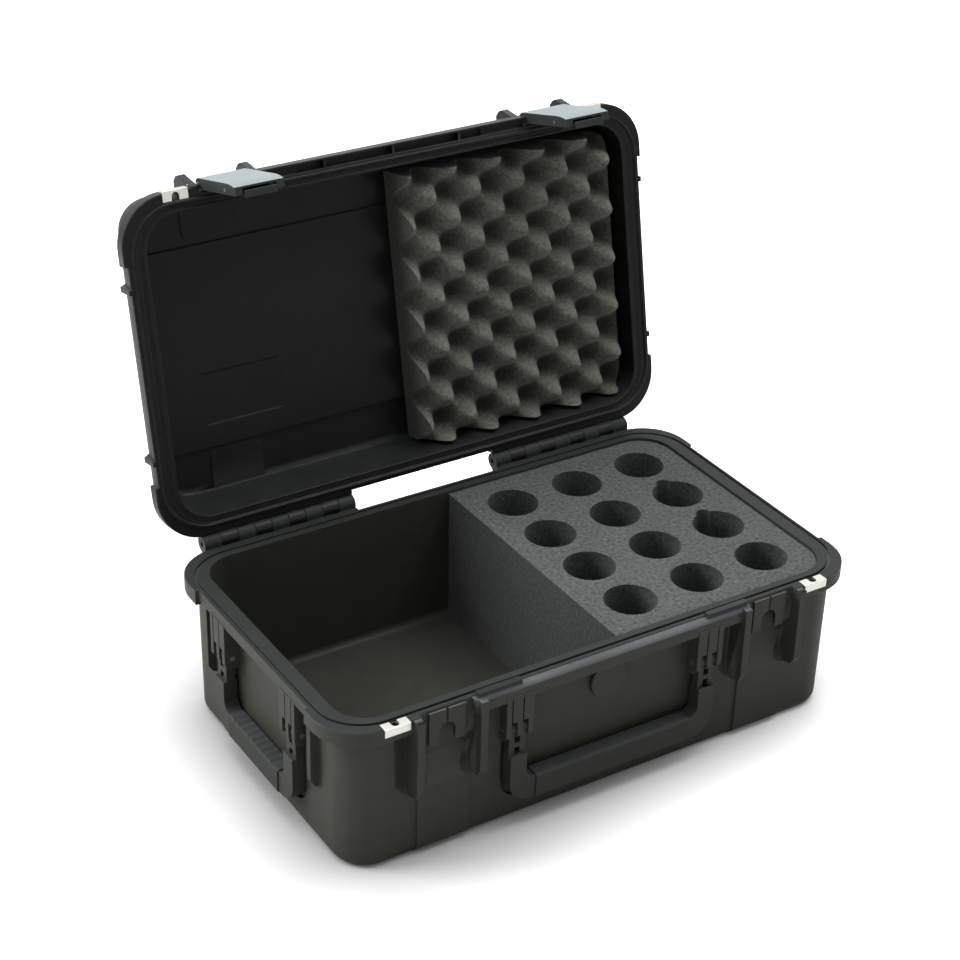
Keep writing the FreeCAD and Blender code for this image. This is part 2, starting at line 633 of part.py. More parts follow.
def base_shell():
    """The moulded base with its rim, fins, keepers, clevises and hinge knuckles."""
    low = (half_width - BASE_LEAN, half_depth - BASE_LEAN, BODY_CORNER - BASE_LEAN, 0)
    outside = tapered(low, (half_width, half_depth, BODY_CORNER, RIM_HEIGHT))
    outside = outside.makeFillet(BOTTOM_ROUND, edges_at(outside, 0))
    body = joined([outside] + both([low_pad()]))
    cuts = pockets() + [on_side(side_pocket(), side) for side in (-1, 1)]
    details = [body.cut(cuts)]
    details += flange(flange_bottom, RIM_HEIGHT, flange_bottom - PAD_EXTRA_THICKNESS, RIM_HEIGHT)

    beam_top = RIM_HEIGHT - BEAM_TOP_DROP
    beam_foot = RIM_HEIGHT - BASE_BEAM_HEIGHT
    beam_points = [(-root_y, beam_top), (-(beam_y - BEAM_CHAMFER), beam_top)]
    beam_points += [(-beam_y, beam_top - BEAM_CHAMFER), (-beam_y, beam_foot), (-root_y, beam_foot)]
    details.append(profile_x(beam_points, -BEAM_HALF_LENGTH, BEAM_HALF_LENGTH))
    bar_front = -(beam_y - CATCH_BAR_INSET)
    bar = block(CATCH_BAR_START, CATCH_BAR_START + CATCH_BAR_LENGTH, bar_front, bar_front + CATCH_BAR_DEPTH,
                beam_top - BEAM_CHAMFER, RIM_HEIGHT + CATCH_BAR_HEIGHT)
    right = [base_fin(OUTER_FIN_X, outer_fin_foot), base_fin(INNER_FIN_X, inner_fin_foot)]
    details += both(right + keeper() + [bar, clevis(FRONT_CLEVIS_START)])

    fin_front = -(half_depth + SIDE_FIN_REACH)
    fin_top = flange_bottom + KNUCKLE_ROOT
    side_points = [(-root_y, fin_top), (fin_front, fin_top), (fin_front, side_fin_foot + FIN_FOOT_RISE)]
    side_points += [(fin_front + FIN_FOOT_STEP, side_fin_foot), (-root_y, side_fin_foot - FIN_FOOT_SLOPE)]
    half = SIDE_FIN_THICKNESS / 2
    side_fin = profile_x(side_points, SIDE_FIN_Y - half, SIDE_FIN_Y + half)
    for side in (-1, 1):
        details += [on_side(shape, side) for shape in both([clevis(SIDE_CLEVIS_START), side_fin])]

    gusset_y = half_depth + GUSSET_REACH
    gusset_points = [(root_y, fin_top), (gusset_y, fin_top), (root_y, fin_top - GUSSET_DROP)]
    for share in GUSSET_SHARES:
        x = HINGE_START + share * (HINGE_LENGTH - GUSSET_THICKNESS)
        details += both([profile_x(gusset_points, x, x + GUSSET_THICKNESS)])
    details += hinge_knuckles(0, -1)
    details.append(rod_y(VENT_SEAT_RADIUS, 0, -vent_face_y, -root_y, vent_z))
    shell = joined(details)

    inside = base_inside(0, floor_top, RIM_HEIGHT + OVERRUN)
    inside = inside.makeFillet(INSIDE_ROUND, edges_at(inside, floor_top))
    skid_x = half_width - SKID_BORDER
    skid_y = half_depth - SKID_BORDER
    underside = straight(skid_x, skid_y, BODY_CORNER, -OVERRUN, UNDERSIDE_DEPTH)
    for share in SKID_RIB_SHARES:
        x = share * skid_x - SKID_RIB_WIDTH / 2
        underside = underside.cut(block(x, x + SKID_RIB_WIDTH, -skid_y, skid_y, -OVERRUN, UNDERSIDE_DEPTH))
    top = RIM_HEIGHT + OVERRUN
    tools = [inside, underside, groove_ring(GROOVE_WIDTH, RIM_HEIGHT - GROOVE_DEPTH, top)]
    tools += both([padlock_hole(flange_bottom - PAD_EXTRA_THICKNESS - OVERRUN, top),
                   padlock_recess(RIM_HEIGHT - PADLOCK_SHEET, top)])
    tools += hinge_bores()
    tools.append(rod_y(VENT_HOLE_RADIUS, 0, -(vent_face_y + OVERRUN), -(inner_half_y - OVERRUN), vent_z))
    return shell.cut(tools)


# Lid, modelled closed
def lid_fin(x):
    """An upright fin on the lid's front: it swells outwards from the rim to a round shoulder."""
    front = -(half_depth + FIN_REACH)
    foot = lid_base + PARTING_GAP
    top = lid_base + LID_FIN_HEIGHT
    shoulder = lid_base + LID_FIN_SHOULDER
    round_y = front + LID_FIN_ROUND
    points = [(-root_y, foot), (front + LID_FIN_LEAN, foot), (front, shoulder)]
    points += [(front + LID_FIN_ROUND / 4, (shoulder + top) / 2), (round_y, top), (-root_y, top)]
    return profile_x(points, x - FIN_THICKNESS / 2, x + FIN_THICKNESS / 2)


def lid_channel():
    """The hollow in the lid's front beam that takes the base's catch bars, with its webs left in."""
    front = -(beam_y - CHANNEL_LIP)
    back = front + CHANNEL_WIDTH
    low = lid_base - OVERRUN
    middle = block(-CATCH_BAR_START, CATCH_BAR_START, front, back, low, lid_base + CHANNEL_DEPTH)
    for index in (-1, 0, 1):
        x = index * CHANNEL_WEB_SPACING
        middle = middle.cut(block(x - CHANNEL_WEB / 2, x + CHANNEL_WEB / 2, front, back, lid_base,
                                  lid_base + CHANNEL_DEPTH))
    bar_room = RIM_HEIGHT + CATCH_BAR_HEIGHT + CATCH_BAR_GAP
    bar_end = CATCH_BAR_START + CATCH_BAR_LENGTH
    pocket = block(CATCH_BAR_START - CATCH_BAR_GAP, bar_end + CATCH_BAR_GAP, front, back, low, bar_room)
    return [middle] + both([pocket])


def lid_inside(inset):
    """The space in the closed lid, less an inset all round."""
    low = (inner_half_x - inset, inner_half_y - inset, CAVITY_CORNER - inset, lid_base - OVERRUN)
    lean = LID_LEAN + inset
    top = roof_inside - inset
    space = tapered(low, (inner_half_x - lean, inner_half_y - lean, CAVITY_CORNER - lean, top))
    return space.makeFillet(INSIDE_ROUND, edges_at(space, top))


def lid_shell():
    """The moulded lid with its rim, fins, channel and hinge knuckles."""
    high = (half_width - LID_LEAN, half_depth - LID_LEAN, BODY_CORNER - LID_LEAN, lid_top)
    outside = tapered((half_width, half_depth, BODY_CORNER, lid_base), high)
    outside = outside.makeFillet(ROOF_ROUND, edges_at(outside, lid_top))
    pad_z1 = lid_base + LID_FLANGE_THICKNESS + PAD_EXTRA_THICKNESS
    shapes = [outside]
    shapes += flange(lid_base, lid_base + LID_FLANGE_THICKNESS, lid_base, pad_z1)
    beam_top = lid_base + LID_BEAM_HEIGHT
    beam_points = [(-root_y, lid_base), (-beam_y, lid_base), (-beam_y, beam_top - BEAM_CHAMFER)]
    beam_points += [(-(beam_y - BEAM_CHAMFER), beam_top), (-root_y, beam_top)]
    shapes.append(profile_x(beam_points, -BEAM_HALF_LENGTH, BEAM_HALF_LENGTH))
    shapes += both([lid_fin(OUTER_FIN_X), lid_fin(INNER_FIN_X)])
    shapes += hinge_knuckles(1, 1)
    slope = [(-root_y, lid_base), (-(half_depth + LID_RIB_REACH), lid_base)]
    slope.append((-(half_depth + LID_RIB_REACH), lid_base + LID_RIB_HEIGHT / 2))
    slope.append((-root_y, lid_base + LID_RIB_HEIGHT))
    rib = profile_x(slope, LID_RIB_Y - LID_RIB_THICKNESS / 2, LID_RIB_Y + LID_RIB_THICKNESS / 2)
    for side in (-1, 1):
        shapes += [on_side(shape, side) for shape in both([rib])]
    shell = joined(shapes)

    panel = block(-half_width, half_width, -PANEL_HALF_DEPTH, PANEL_HALF_DEPTH, panel_inside, lid_top)
    inside = lid_inside(0).cut(panel)
    for sy in (-1, 1):
        emboss = straight(EMBOSS_HALF_WIDTH, EMBOSS_LENGTH, EMBOSS_CORNER,
                          roof_inside - EMBOSS_HEIGHT, lid_top)
        emboss.translate(FreeCAD.Vector(LATCH_X, sy * (inner_half_y - LID_LEAN), 0))
        inside = inside.cut(both([emboss]))
    panel_x = half_width - LID_LEAN - PANEL_OUTSIDE_MARGIN
    roof_recess = straight(panel_x, PANEL_HALF_DEPTH, BODY_CORNER / 2,
                           lid_top - PANEL_STEP, lid_top + OVERRUN)
    label = block(LABEL_CENTRE_X - LABEL_WIDTH / 2, LABEL_CENTRE_X + LABEL_WIDTH / 2,
                  LABEL_CENTRE_Y - LABEL_DEPTH / 2, LABEL_CENTRE_Y + LABEL_DEPTH / 2,
                  panel_inside - OVERRUN, panel_inside + LABEL_RECESS)
    tools = [inside, roof_recess, label, seal_ring(lid_base - OVERRUN, lid_base + SEAL_HEIGHT)]
    tools += lid_channel()
    tools += both([padlock_hole(lid_base - OVERRUN, pad_z1 + OVERRUN),
                   padlock_recess(lid_base - OVERRUN, lid_base + PADLOCK_SHEET)])
    tools += hinge_bores()
    pin_hole = rod_x(LATCH_PIN_RADIUS + RUNNING_GAP, INNER_FIN_X, OUTER_FIN_X + FIN_THICKNESS,
                     -latch_pivot_y, latch_pivot_z)
    tools += both([pin_hole])
    shell = shell.cut(tools)
    tongue_width = GROOVE_WIDTH - TONGUE_SIDE_GAP * 2
    tongue = groove_ring(tongue_width, RIM_HEIGHT - TONGUE_HEIGHT, lid_base + PARTING_GAP)
    return joined([shell, tongue.cut(both([padlock_recess(0, lid_base)]))])


def lid_seal():
    """The rubber seal in the lid's rim."""
    return seal_ring(lid_base, lid_base + SEAL_HEIGHT)


def hinge_pin(side):
    """One hinge pin."""
    start = side * (HINGE_START + HINGE_PIN_END)
    end = side * (HINGE_START + HINGE_LENGTH - HINGE_PIN_END)
    return rod_x(HINGE_PIN_RADIUS, start, end, hinge_y, hinge_z)


# Latches, modelled on the right of the closed lid
def latch_body():
    """The latch: a plate that curls in at its end, two cheeks, a barrel and an end wall with a window."""
    left = LATCH_X - LATCH_HALF_WIDTH
    right = LATCH_X + LATCH_HALF_WIDTH
    back = -(latch_inner_y - LATCH_CHEEK_DEPTH)
    curl_z = latch_end_z + LATCH_CURL_HEIGHT
    start = FreeCAD.Vector(left, -latch_face_y, curl_z)
    middle = FreeCAD.Vector(left, -latch_face_y + LATCH_CURL / 4, curl_z - LATCH_CURL_HEIGHT / 2)
    end = FreeCAD.Vector(left, -latch_face_y + LATCH_CURL, latch_end_z)
    corners = [end, FreeCAD.Vector(left, back, latch_end_z), FreeCAD.Vector(left, back, latch_pivot_z)]
    corners += [FreeCAD.Vector(left, -latch_face_y, latch_pivot_z), start]
    outline = [Part.Arc(start, middle, end).toShape()]
    outline += [Part.makeLine(here, there) for here, there in zip(corners, corners[1:])]
    full = Part.Face(Part.Wire(outline)).extrude(X_AXIS * LATCH_HALF_WIDTH * 2)
    hollow = block(left + LATCH_CHEEK, right - LATCH_CHEEK, -latch_inner_y, back + OVERRUN,
                   latch_end_z + LATCH_END_WALL, latch_pivot_z + OVERRUN)
    barrel = rod_x(LATCH_EYE_RADIUS, left, right, -latch_pivot_y, latch_pivot_z)
    body = joined([full.cut(hollow), barrel])
    window_half = TRIGGER_HALF_WIDTH + SPRING_SIDE_GAP
    window = block(LATCH_X - window_half, LATCH_X + window_half, -(latch_inner_y - LATCH_WINDOW_LIP),
                   back + OVERRUN, latch_end_z - OVERRUN, latch_end_z + LATCH_END_WALL + OVERRUN)
    hole = rod_x(LATCH_PIN_RADIUS + RUNNING_GAP, left - OVERRUN, right + OVERRUN,
                 -latch_pivot_y, latch_pivot_z)
    pin = rod_x(TRIGGER_PIN_RADIUS + RUNNING_GAP, left - OVERRUN, right + OVERRUN, -trigger_y, trigger_z)
    return body.cut([window, hole, pin])


def latch_trigger():
    """The trigger: a barbed hook above its pin, a lever and a lip below."""
    left = LATCH_X - TRIGGER_HALF_WIDTH
    right = LATCH_X + TRIGGER_HALF_WIDTH
    hook_top = keeper_z - HOOK_GAP
    front = -(trigger_y + TRIGGER_PLATE / 2)
    barb_front = -(keeper_y - KEEPER_LIP - BARB_GAP)
    barb_back = barb_front + BARB_THICKNESS
    upper = block(left, right, front, front + TRIGGER_PLATE, trigger_z, hook_top)
    hook = block(left, right, front, barb_back, hook_top - HOOK_HEIGHT, hook_top)
    barb = block(left, right, barb_front, barb_back, hook_top - HOOK_HEIGHT, keeper_z + BARB_RISE)
    low = trigger_z - TRIGGER_LEVER_DROP
    lever = profile_x([(front, trigger_z), (front + TRIGGER_PLATE, trigger_z),
                       (front + TRIGGER_PLATE + TRIGGER_LEVER_SLOPE, low),
                       (front + TRIGGER_LEVER_SLOPE, low)], left, right)
    lip_back = front + TRIGGER_PLATE + TRIGGER_LEVER_SLOPE
    lip = block(left, right, lip_back - TRIGGER_PLATE - TRIGGER_LIP_REACH, lip_back,
                low - TRIGGER_LIP_HEIGHT, low)
    boss = rod_x(TRIGGER_BOSS_RADIUS, left, right, -trigger_y, trigger_z)
    hole = rod_x(TRIGGER_PIN_RADIUS + RUNNING_GAP, left - OVERRUN, right + OVERRUN, -trigger_y, trigger_z)
    return joined([upper, hook, barb, lever, lip, boss]).cut(hole)


def latch_pin():
    """The pin that carries the latch between the lid's fins."""
    return rod_x(LATCH_PIN_RADIUS, INNER_FIN_X + RUNNING_GAP, OUTER_FIN_X + FIN_THICKNESS / 2,
                 -latch_pivot_y, latch_pivot_z)


def trigger_pin():
    """The pin that carries the trigger between the latch cheeks."""
    left = LATCH_X - LATCH_HALF_WIDTH
    right = LATCH_X + LATCH_HALF_WIDTH
    return rod_x(TRIGGER_PIN_RADIUS, left, right, -trigger_y, trigger_z)


def trigger_spring():
    """The trigger's return spring: an unbroken wire of even turns round the pin, with two straight legs."""
    start_x = LATCH_X + TRIGGER_HALF_WIDTH + SPRING_SIDE_GAP
    steps = SPRING_TURNS * SPRING_STEPS

    def point(step):
        angle = 2 * math.pi * step / SPRING_STEPS
        x = start_x + SPRING_PITCH * step / SPRING_STEPS
        return FreeCAD.Vector(x, -trigger_y + SPRING_RADIUS * math.cos(angle),
                              trigger_z + SPRING_RADIUS * math.sin(angle))

    arcs = []
    for step in range(0, steps, 2):
        arcs.append(Part.Arc(point(step), point(step + 1), point(step + 2)).toShape())
    first = arcs[0].tangentAt(arcs[0].FirstParameter)
    last = arcs[-1].tangentAt(arcs[-1].LastParameter)
    foot = point(0) - first * SPRING_LEG
    path = Part.Wire([Part.makeLine(foot, point(0))] + arcs
                     + [Part.makeLine(point(steps), point(steps) + last * SPRING_LEG)])
    print("trigger spring: least gap between turns", SPRING_PITCH - SPRING_WIRE)
    circle = Part.makeCircle(SPRING_WIRE / 2, foot, first)
    return path.makePipeShell([Part.Wire([circle])], True, False)


def latched_open(shape):
    """A latch piece let out to its rest place, then turned with the open lid."""
    turned = shape.copy()
    turned.rotate(FreeCAD.Vector(0, -latch_pivot_y, latch_pivot_z), X_AXIS, -LATCH_REST_DEGREES)
    return opened(turned)


# Padlock plates
def padlock_plate(face_z, up):
    """A bent stainless plate on a corner pad: up is 1 on the lid and -1 on the base."""
    half = PADLOCK_PLATE_WIDTH / 2
    front = -(pad_y + PADLOCK_SHEET)
    back = -(flange_y - GROOVE_INSET_Y + PADLOCK_BACK_GAP)
    flat = block(PADLOCK_X - half, PADLOCK_X + half, front, back, face_z, face_z + up * PADLOCK_SHEET)
    lip = block(PADLOCK_X - half, PADLOCK_X + half, front, -pad_y, face_z, face_z + up * PADLOCK_LIP)
    hole_y = -(pad_y - PADLOCK_HOLE_INSET)
    radius = PADLOCK_PLATE_HOLE_RADIUS
    hole = rod_z(radius, PADLOCK_X, hole_y, face_z - OVERRUN, face_z + OVERRUN)
    notch = block(PADLOCK_X - radius, PADLOCK_X + radius, hole_y, back + OVERRUN, face_z - OVERRUN,
                  face_z + OVERRUN)
    return joined([flat, lip]).cut([hole, notch])


# Handles, modelled on the front wall
def handle_outline(half_length, front, back):
    """The U of a handle: a rounded plate with a rounded window, open at the top."""
    top = handle_pivot_z - HANDLE_ARM_TOP_DROP
    over = top + HANDLE_OUTER_ROUND * 2
    plate = front_plate(0, half_length, handle_bottom, over, HANDLE_OUTER_ROUND, front, back)
    trim = block(-half_length - OVERRUN, half_length + OVERRUN, front - OVERRUN, back + OVERRUN,
                 top, over + OVERRUN)
    window = front_plate(0, half_length - lug_span, handle_bottom + HANDLE_BAR, over + HANDLE_BAR,
                         HANDLE_INNER_ROUND, front - OVERRUN, back + OVERRUN)
    return plate.cut([trim, window])


def handle_faces():
    """The handle's back and front faces, as y values."""
    back = -(half_depth - HANDLE_SUNK)
    return back, back - HANDLE_THICKNESS


def handle_core(start):
    """The moulded handle: its U and the two lugs of each arm."""
    half_length = start + CLEVIS_FIN + lug_span
    back, front = handle_faces()
    pivot_y = -(half_depth + HANDLE_PIVOT_REACH)
    frame_top = handle_pivot_z - HANDLE_ARM_TOP_DROP
    shapes = [handle_outline(half_length, front, back)]
    for index in range(2):
        x = start + CLEVIS_FIN + LUG_GAP + index * lug_pitch
        lug = block(x, x + LUG_WIDTH, pivot_y - LUG_THICKNESS / 2, pivot_y + LUG_THICKNESS / 2,
                    frame_top - LUG_WIDTH, handle_pivot_z)
        eye = rod_x(LUG_RADIUS, x, x + LUG_WIDTH, pivot_y, handle_pivot_z)
        shapes += both([lug, eye])
    web_top = handle_pivot_z - HANDLE_WEB_DROP
    web = block(start + CLEVIS_FIN + LUG_GAP, half_length, pivot_y - LUG_THICKNESS / 2,
                pivot_y + LUG_THICKNESS / 2, web_top - HANDLE_WEB, web_top)
    shapes += both([web])
    hole = rod_x(HANDLE_PIN_RADIUS + RUNNING_GAP, -half_length - OVERRUN, half_length + OVERRUN, pivot_y,
                 handle_pivot_z)
    return joined(shapes).cut(hole)


def handle_grip(start, scalloped):
    """The rubber sleeve round the handle's bar. The side handles' sleeves are scalloped along the top."""
    half = start + CLEVIS_FIN - HANDLE_INNER_ROUND
    back, front = handle_faces()
    top = handle_bottom + HANDLE_BAR
    sleeve = block(-half, half, front - GRIP_SKIN, back + GRIP_SKIN,
                   handle_bottom - GRIP_SKIN, top + GRIP_SKIN)
    long_edges = [edge for edge in sleeve.Edges if edge.BoundBox.XLength > half]
    sleeve = sleeve.makeFillet(GRIP_SKIN * 2, long_edges)
    tools = [block(-half - OVERRUN, half + OVERRUN, front - GRIP_BAR_GAP, back + GRIP_BAR_GAP,
                   handle_bottom - GRIP_BAR_GAP, top + GRIP_BAR_GAP)]
    if scalloped:
        count = int(half / SCALLOP_PITCH)
        scallop_z = top + GRIP_SKIN - SCALLOP_DEPTH + SCALLOP_RADIUS
        for index in range(-count + 1, count):
            x = index * SCALLOP_PITCH
            tools.append(rod_y(SCALLOP_RADIUS, x, front - OVERRUN, back + OVERRUN, scallop_z))
    return sleeve.cut(tools)


def handle_pins(start):
    """The two pins of one handle."""
    x1 = start + lug_pitch * 2 + CLEVIS_FIN
    pin = rod_x(HANDLE_PIN_RADIUS, start, x1, -(half_depth + HANDLE_PIVOT_REACH), handle_pivot_z)
    return Part.makeCompound(both([pin]))


# Pressure vent
def vent_body():
    """The vent's flange and stem."""
    flange_disc = rod_y(VENT_BODY_RADIUS, 0, -vent_face_y, -(vent_face_y + VENT_BODY_THICKNESS), vent_z)
    stem = rod_y(VENT_STEM_RADIUS, 0, -vent_face_y, -(vent_face_y - VENT_STEM_LENGTH), vent_z)
    return joined([flange_disc, stem])


def vent_cap():
    """The vent's bare round cap."""
    back = vent_face_y + VENT_BODY_THICKNESS
    disc = rod_y(VENT_CAP_RADIUS, 0, -back, -(back + VENT_CAP_THICKNESS), vent_z)
    front_edges = [edge for edge in disc.Edges if abs(edge.BoundBox.YMin + back + VENT_CAP_THICKNESS)
                   < EDGE_TOLERANCE and edge.BoundBox.YLength < EDGE_TOLERANCE]
    return disc.makeFillet(VENT_CAP_THICKNESS / 3, front_edges)


def vent_nut():
    """The hexagon nut that holds the vent from inside."""
    face_y = -(inner_half_y - cavity_lean(vent_z) - SOFT_GAP)
    corners = []
    for index in range(6):
        angle = math.pi * index / 3
        corners.append(FreeCAD.Vector(VENT_NUT_RADIUS * math.cos(angle), face_y,
                                      vent_z + VENT_NUT_RADIUS * math.sin(angle)))
    nut = Part.Face(Part.makePolygon(corners + corners[:1])).extrude(Y_AXIS * VENT_NUT_THICKNESS)
    bore = rod_y(VENT_STEM_RADIUS + RUNNING_GAP, 0, face_y - OVERRUN, face_y + OVERRUN * 2, vent_z)
    return nut.cut(bore)


# Foam
def hole_centres():
    """The middle of each microphone hole, as x, y, column and row."""
    centres = []
    for column in range(HOLE_COLUMNS):
        for row in range(HOLE_ROWS):
            x = HOLE_FIRST_X + column * HOLE_PITCH_X
            y = (row - (HOLE_ROWS - 1) / 2) * HOLE_PITCH_Y
            centres.append((x, y, column, row))
    return centres


def foam_slab(z0, z1):
    """Foam that fills the right of the base between two heights."""
    slab = base_inside(SOFT_GAP, z0, z1)
    keep = block(FOAM_LEFT, half_width, -half_depth, half_depth, z0, z1)
    return slab.common(keep)


def mic_foam():
    """The foam block with its upright holes."""
    z0 = pad_top + SOFT_GAP
    tools = []
    for x, y, column, row in hole_centres():
        tools.append(rod_z(HOLE_RADIUS, x, y, z0 - OVERRUN, foam_top + OVERRUN))
        if column == HOLE_COLUMNS - 1 and row in KEYHOLE_ROWS:
            tools.append(rod_z(KEYHOLE_RADIUS, x, y + KEYHOLE_OFFSET, z0 - OVERRUN, foam_top + OVERRUN))
    return foam_slab(z0, foam_top).cut(tools)


def foam_pad():
    """The plain foam layer under the block: the bottom of its holes."""
    z0 = floor_top + SOFT_GAP
    pad = base_inside(SOFT_GAP, z0, pad_top)
    pad = pad.makeFillet(INSIDE_ROUND, edges_at(pad, z0))
    return pad.common(block(FOAM_LEFT, half_width, -half_depth, half_depth, z0, pad_top))


def lid_foam():
    """Convoluted foam on the lid's panel: rows of peaks, each row set half a pitch along."""
    back_z = panel_inside - SOFT_GAP
    mean = (LID_FOAM_THICKNESS + LID_FOAM_WEB) / 2
    swing = (LID_FOAM_THICKNESS - LID_FOAM_WEB) / 2
    y0 = LID_FOAM_CENTRE_Y - LID_FOAM_DEPTH / 2
    step = LID_FOAM_PITCH / LID_FOAM_SAMPLES
    turn = 2 * math.pi / LID_FOAM_SAMPLES
    rows = []
    for i in range(-1, math.ceil(LID_FOAM_WIDTH / step) + 2):
        row = []
        for j in range(-1, math.ceil(LID_FOAM_DEPTH / step) + 2):
            wave = math.cos(turn * i) * math.cos(turn * j)
            z = back_z - mean - swing * wave
            row.append(FreeCAD.Vector(LID_FOAM_LEFT + step * i, y0 + step * j, z))
        rows.append(row)
    surface = Part.BSplineSurface()
    surface.interpolate(rows)
    air = surface.toShape().extrude(-Z_AXIS * LID_FOAM_THICKNESS * 2)
    keep = block(LID_FOAM_LEFT, LID_FOAM_LEFT + LID_FOAM_WIDTH, y0, y0 + LID_FOAM_DEPTH,
                 back_z - LID_FOAM_THICKNESS - OVERRUN, back_z)
    return lid_inside(SOFT_GAP).common(keep).cut(air)


def main():
    """Build every node and write it."""
    os.makedirs("parts", exist_ok=True)
    save("base_shell", base_shell())
    save("lid_shell", opened(lid_shell()))
    save("lid_seal", opened(lid_seal()))
    save("mic_foam_block", mic_foam())
    save("foam_base_pad", foam_pad())
    save("lid_convoluted_foam", opened(lid_foam()))
    save("vent_body", vent_body())
    save("vent_cap", vent_cap())
    save("vent_nut", vent_nut())
    for side, name in ((-1, "left"), (1, "right")):
        save("hinge_pin_" + name, hinge_pin(side))
        base_plate = padlock_plate(RIM_HEIGHT, -1)
        lid_plate = padlock_plate(lid_base, 1)
        pieces = {"latch_body": latch_body(), "latch_trigger": latch_trigger(), "latch_pin": latch_pin(),
                  "trigger_pin": trigger_pin(), "trigger_spring": trigger_spring()}
        if side < 0:
            base_plate = mirrored(base_plate)
            lid_plate = mirrored(lid_plate)
            pieces = {key: mirrored(piece) for key, piece in pieces.items()}
        save("padlock_plate_base_" + name, base_plate)
        save("padlock_plate_lid_" + name, opened(lid_plate))
        for key, piece in pieces.items():
            place = opened if key == "latch_pin" else latched_open
            save(key + "_" + name, place(piece))
        save(name + "_handle_core", on_side(handle_core(SIDE_CLEVIS_START), side))
        save(name + "_handle_grip", on_side(handle_grip(SIDE_CLEVIS_START, True), side))
        save(name + "_handle_pins", on_side(handle_pins(SIDE_CLEVIS_START), side))
    save("front_handle_core", handle_core(FRONT_CLEVIS_START))
    save("front_handle_grip", handle_grip(FRONT_CLEVIS_START, False))
    save("front_handle_pins", handle_pins(FRONT_CLEVIS_START))


main()
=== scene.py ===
import logging
import math
from abc import ABC, abstractmethod
from dataclasses import dataclass
from enum import Enum
from functools import cache

import bmesh
import bpy
from mathutils import Matrix, Vector


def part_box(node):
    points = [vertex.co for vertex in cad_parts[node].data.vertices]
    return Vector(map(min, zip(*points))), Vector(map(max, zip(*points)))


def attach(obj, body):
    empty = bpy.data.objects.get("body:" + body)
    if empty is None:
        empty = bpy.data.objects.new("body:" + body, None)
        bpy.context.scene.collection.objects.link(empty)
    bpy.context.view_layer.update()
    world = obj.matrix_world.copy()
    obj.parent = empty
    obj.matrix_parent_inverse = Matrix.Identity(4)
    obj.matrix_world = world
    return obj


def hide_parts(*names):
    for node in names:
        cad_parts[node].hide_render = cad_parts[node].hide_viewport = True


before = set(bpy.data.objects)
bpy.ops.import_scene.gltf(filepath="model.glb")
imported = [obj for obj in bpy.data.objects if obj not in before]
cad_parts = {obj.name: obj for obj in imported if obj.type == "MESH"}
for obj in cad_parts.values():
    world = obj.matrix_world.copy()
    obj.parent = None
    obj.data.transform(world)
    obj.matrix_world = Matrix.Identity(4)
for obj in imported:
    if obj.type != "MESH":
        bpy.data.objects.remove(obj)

# A microphone case with its lid open. Metres; X to the right, the front faces -Y, Z up.
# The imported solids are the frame. Rigid pieces get rounded copies, and the foam is modelled anew.

log = logging.getLogger("case")
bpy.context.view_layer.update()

# The hinge line, the turn that opens what is made for the closed lid, and the closed lid's panel.
HINGE_Y = 0.170
HINGE_Z = 0.1547
OPEN_ANGLE = math.radians(101.3)
LID_OPEN = (Matrix.Translation((0, HINGE_Y, HINGE_Z)) @ Matrix.Rotation(-OPEN_ANGLE, 4, "X")
            @ Matrix.Translation((0, -HINGE_Y, -HINGE_Z)))
LID_PANEL_Z = 0.2030

# Faces that meet more sharply than this keep a hard edge.
SMOOTH_ANGLE = math.radians(30)

Colour = tuple[float, float, float]
Point = tuple[float, float, float]
FLOAT = "NodeSocketFloat"
VECTOR = "NodeSocketVector"
WHITE = (1.0, 1.0, 1.0)


class Side(Enum):
    """A side of the case, seen from its front."""

    LEFT = "left"
    RIGHT = "right"


class Place(Enum):
    """Where a handle is."""

    FRONT = "front"
    LEFT = "left"
    RIGHT = "right"


def opaque(colour: Colour, share: float = 1.0) -> tuple[float, float, float, float]:
    """A share of a colour, fully opaque."""
    return tuple(part * share for part in colour) + (1.0,)


def grey(level: float) -> Colour:
    """A grey of one level."""
    return (level, level, level)


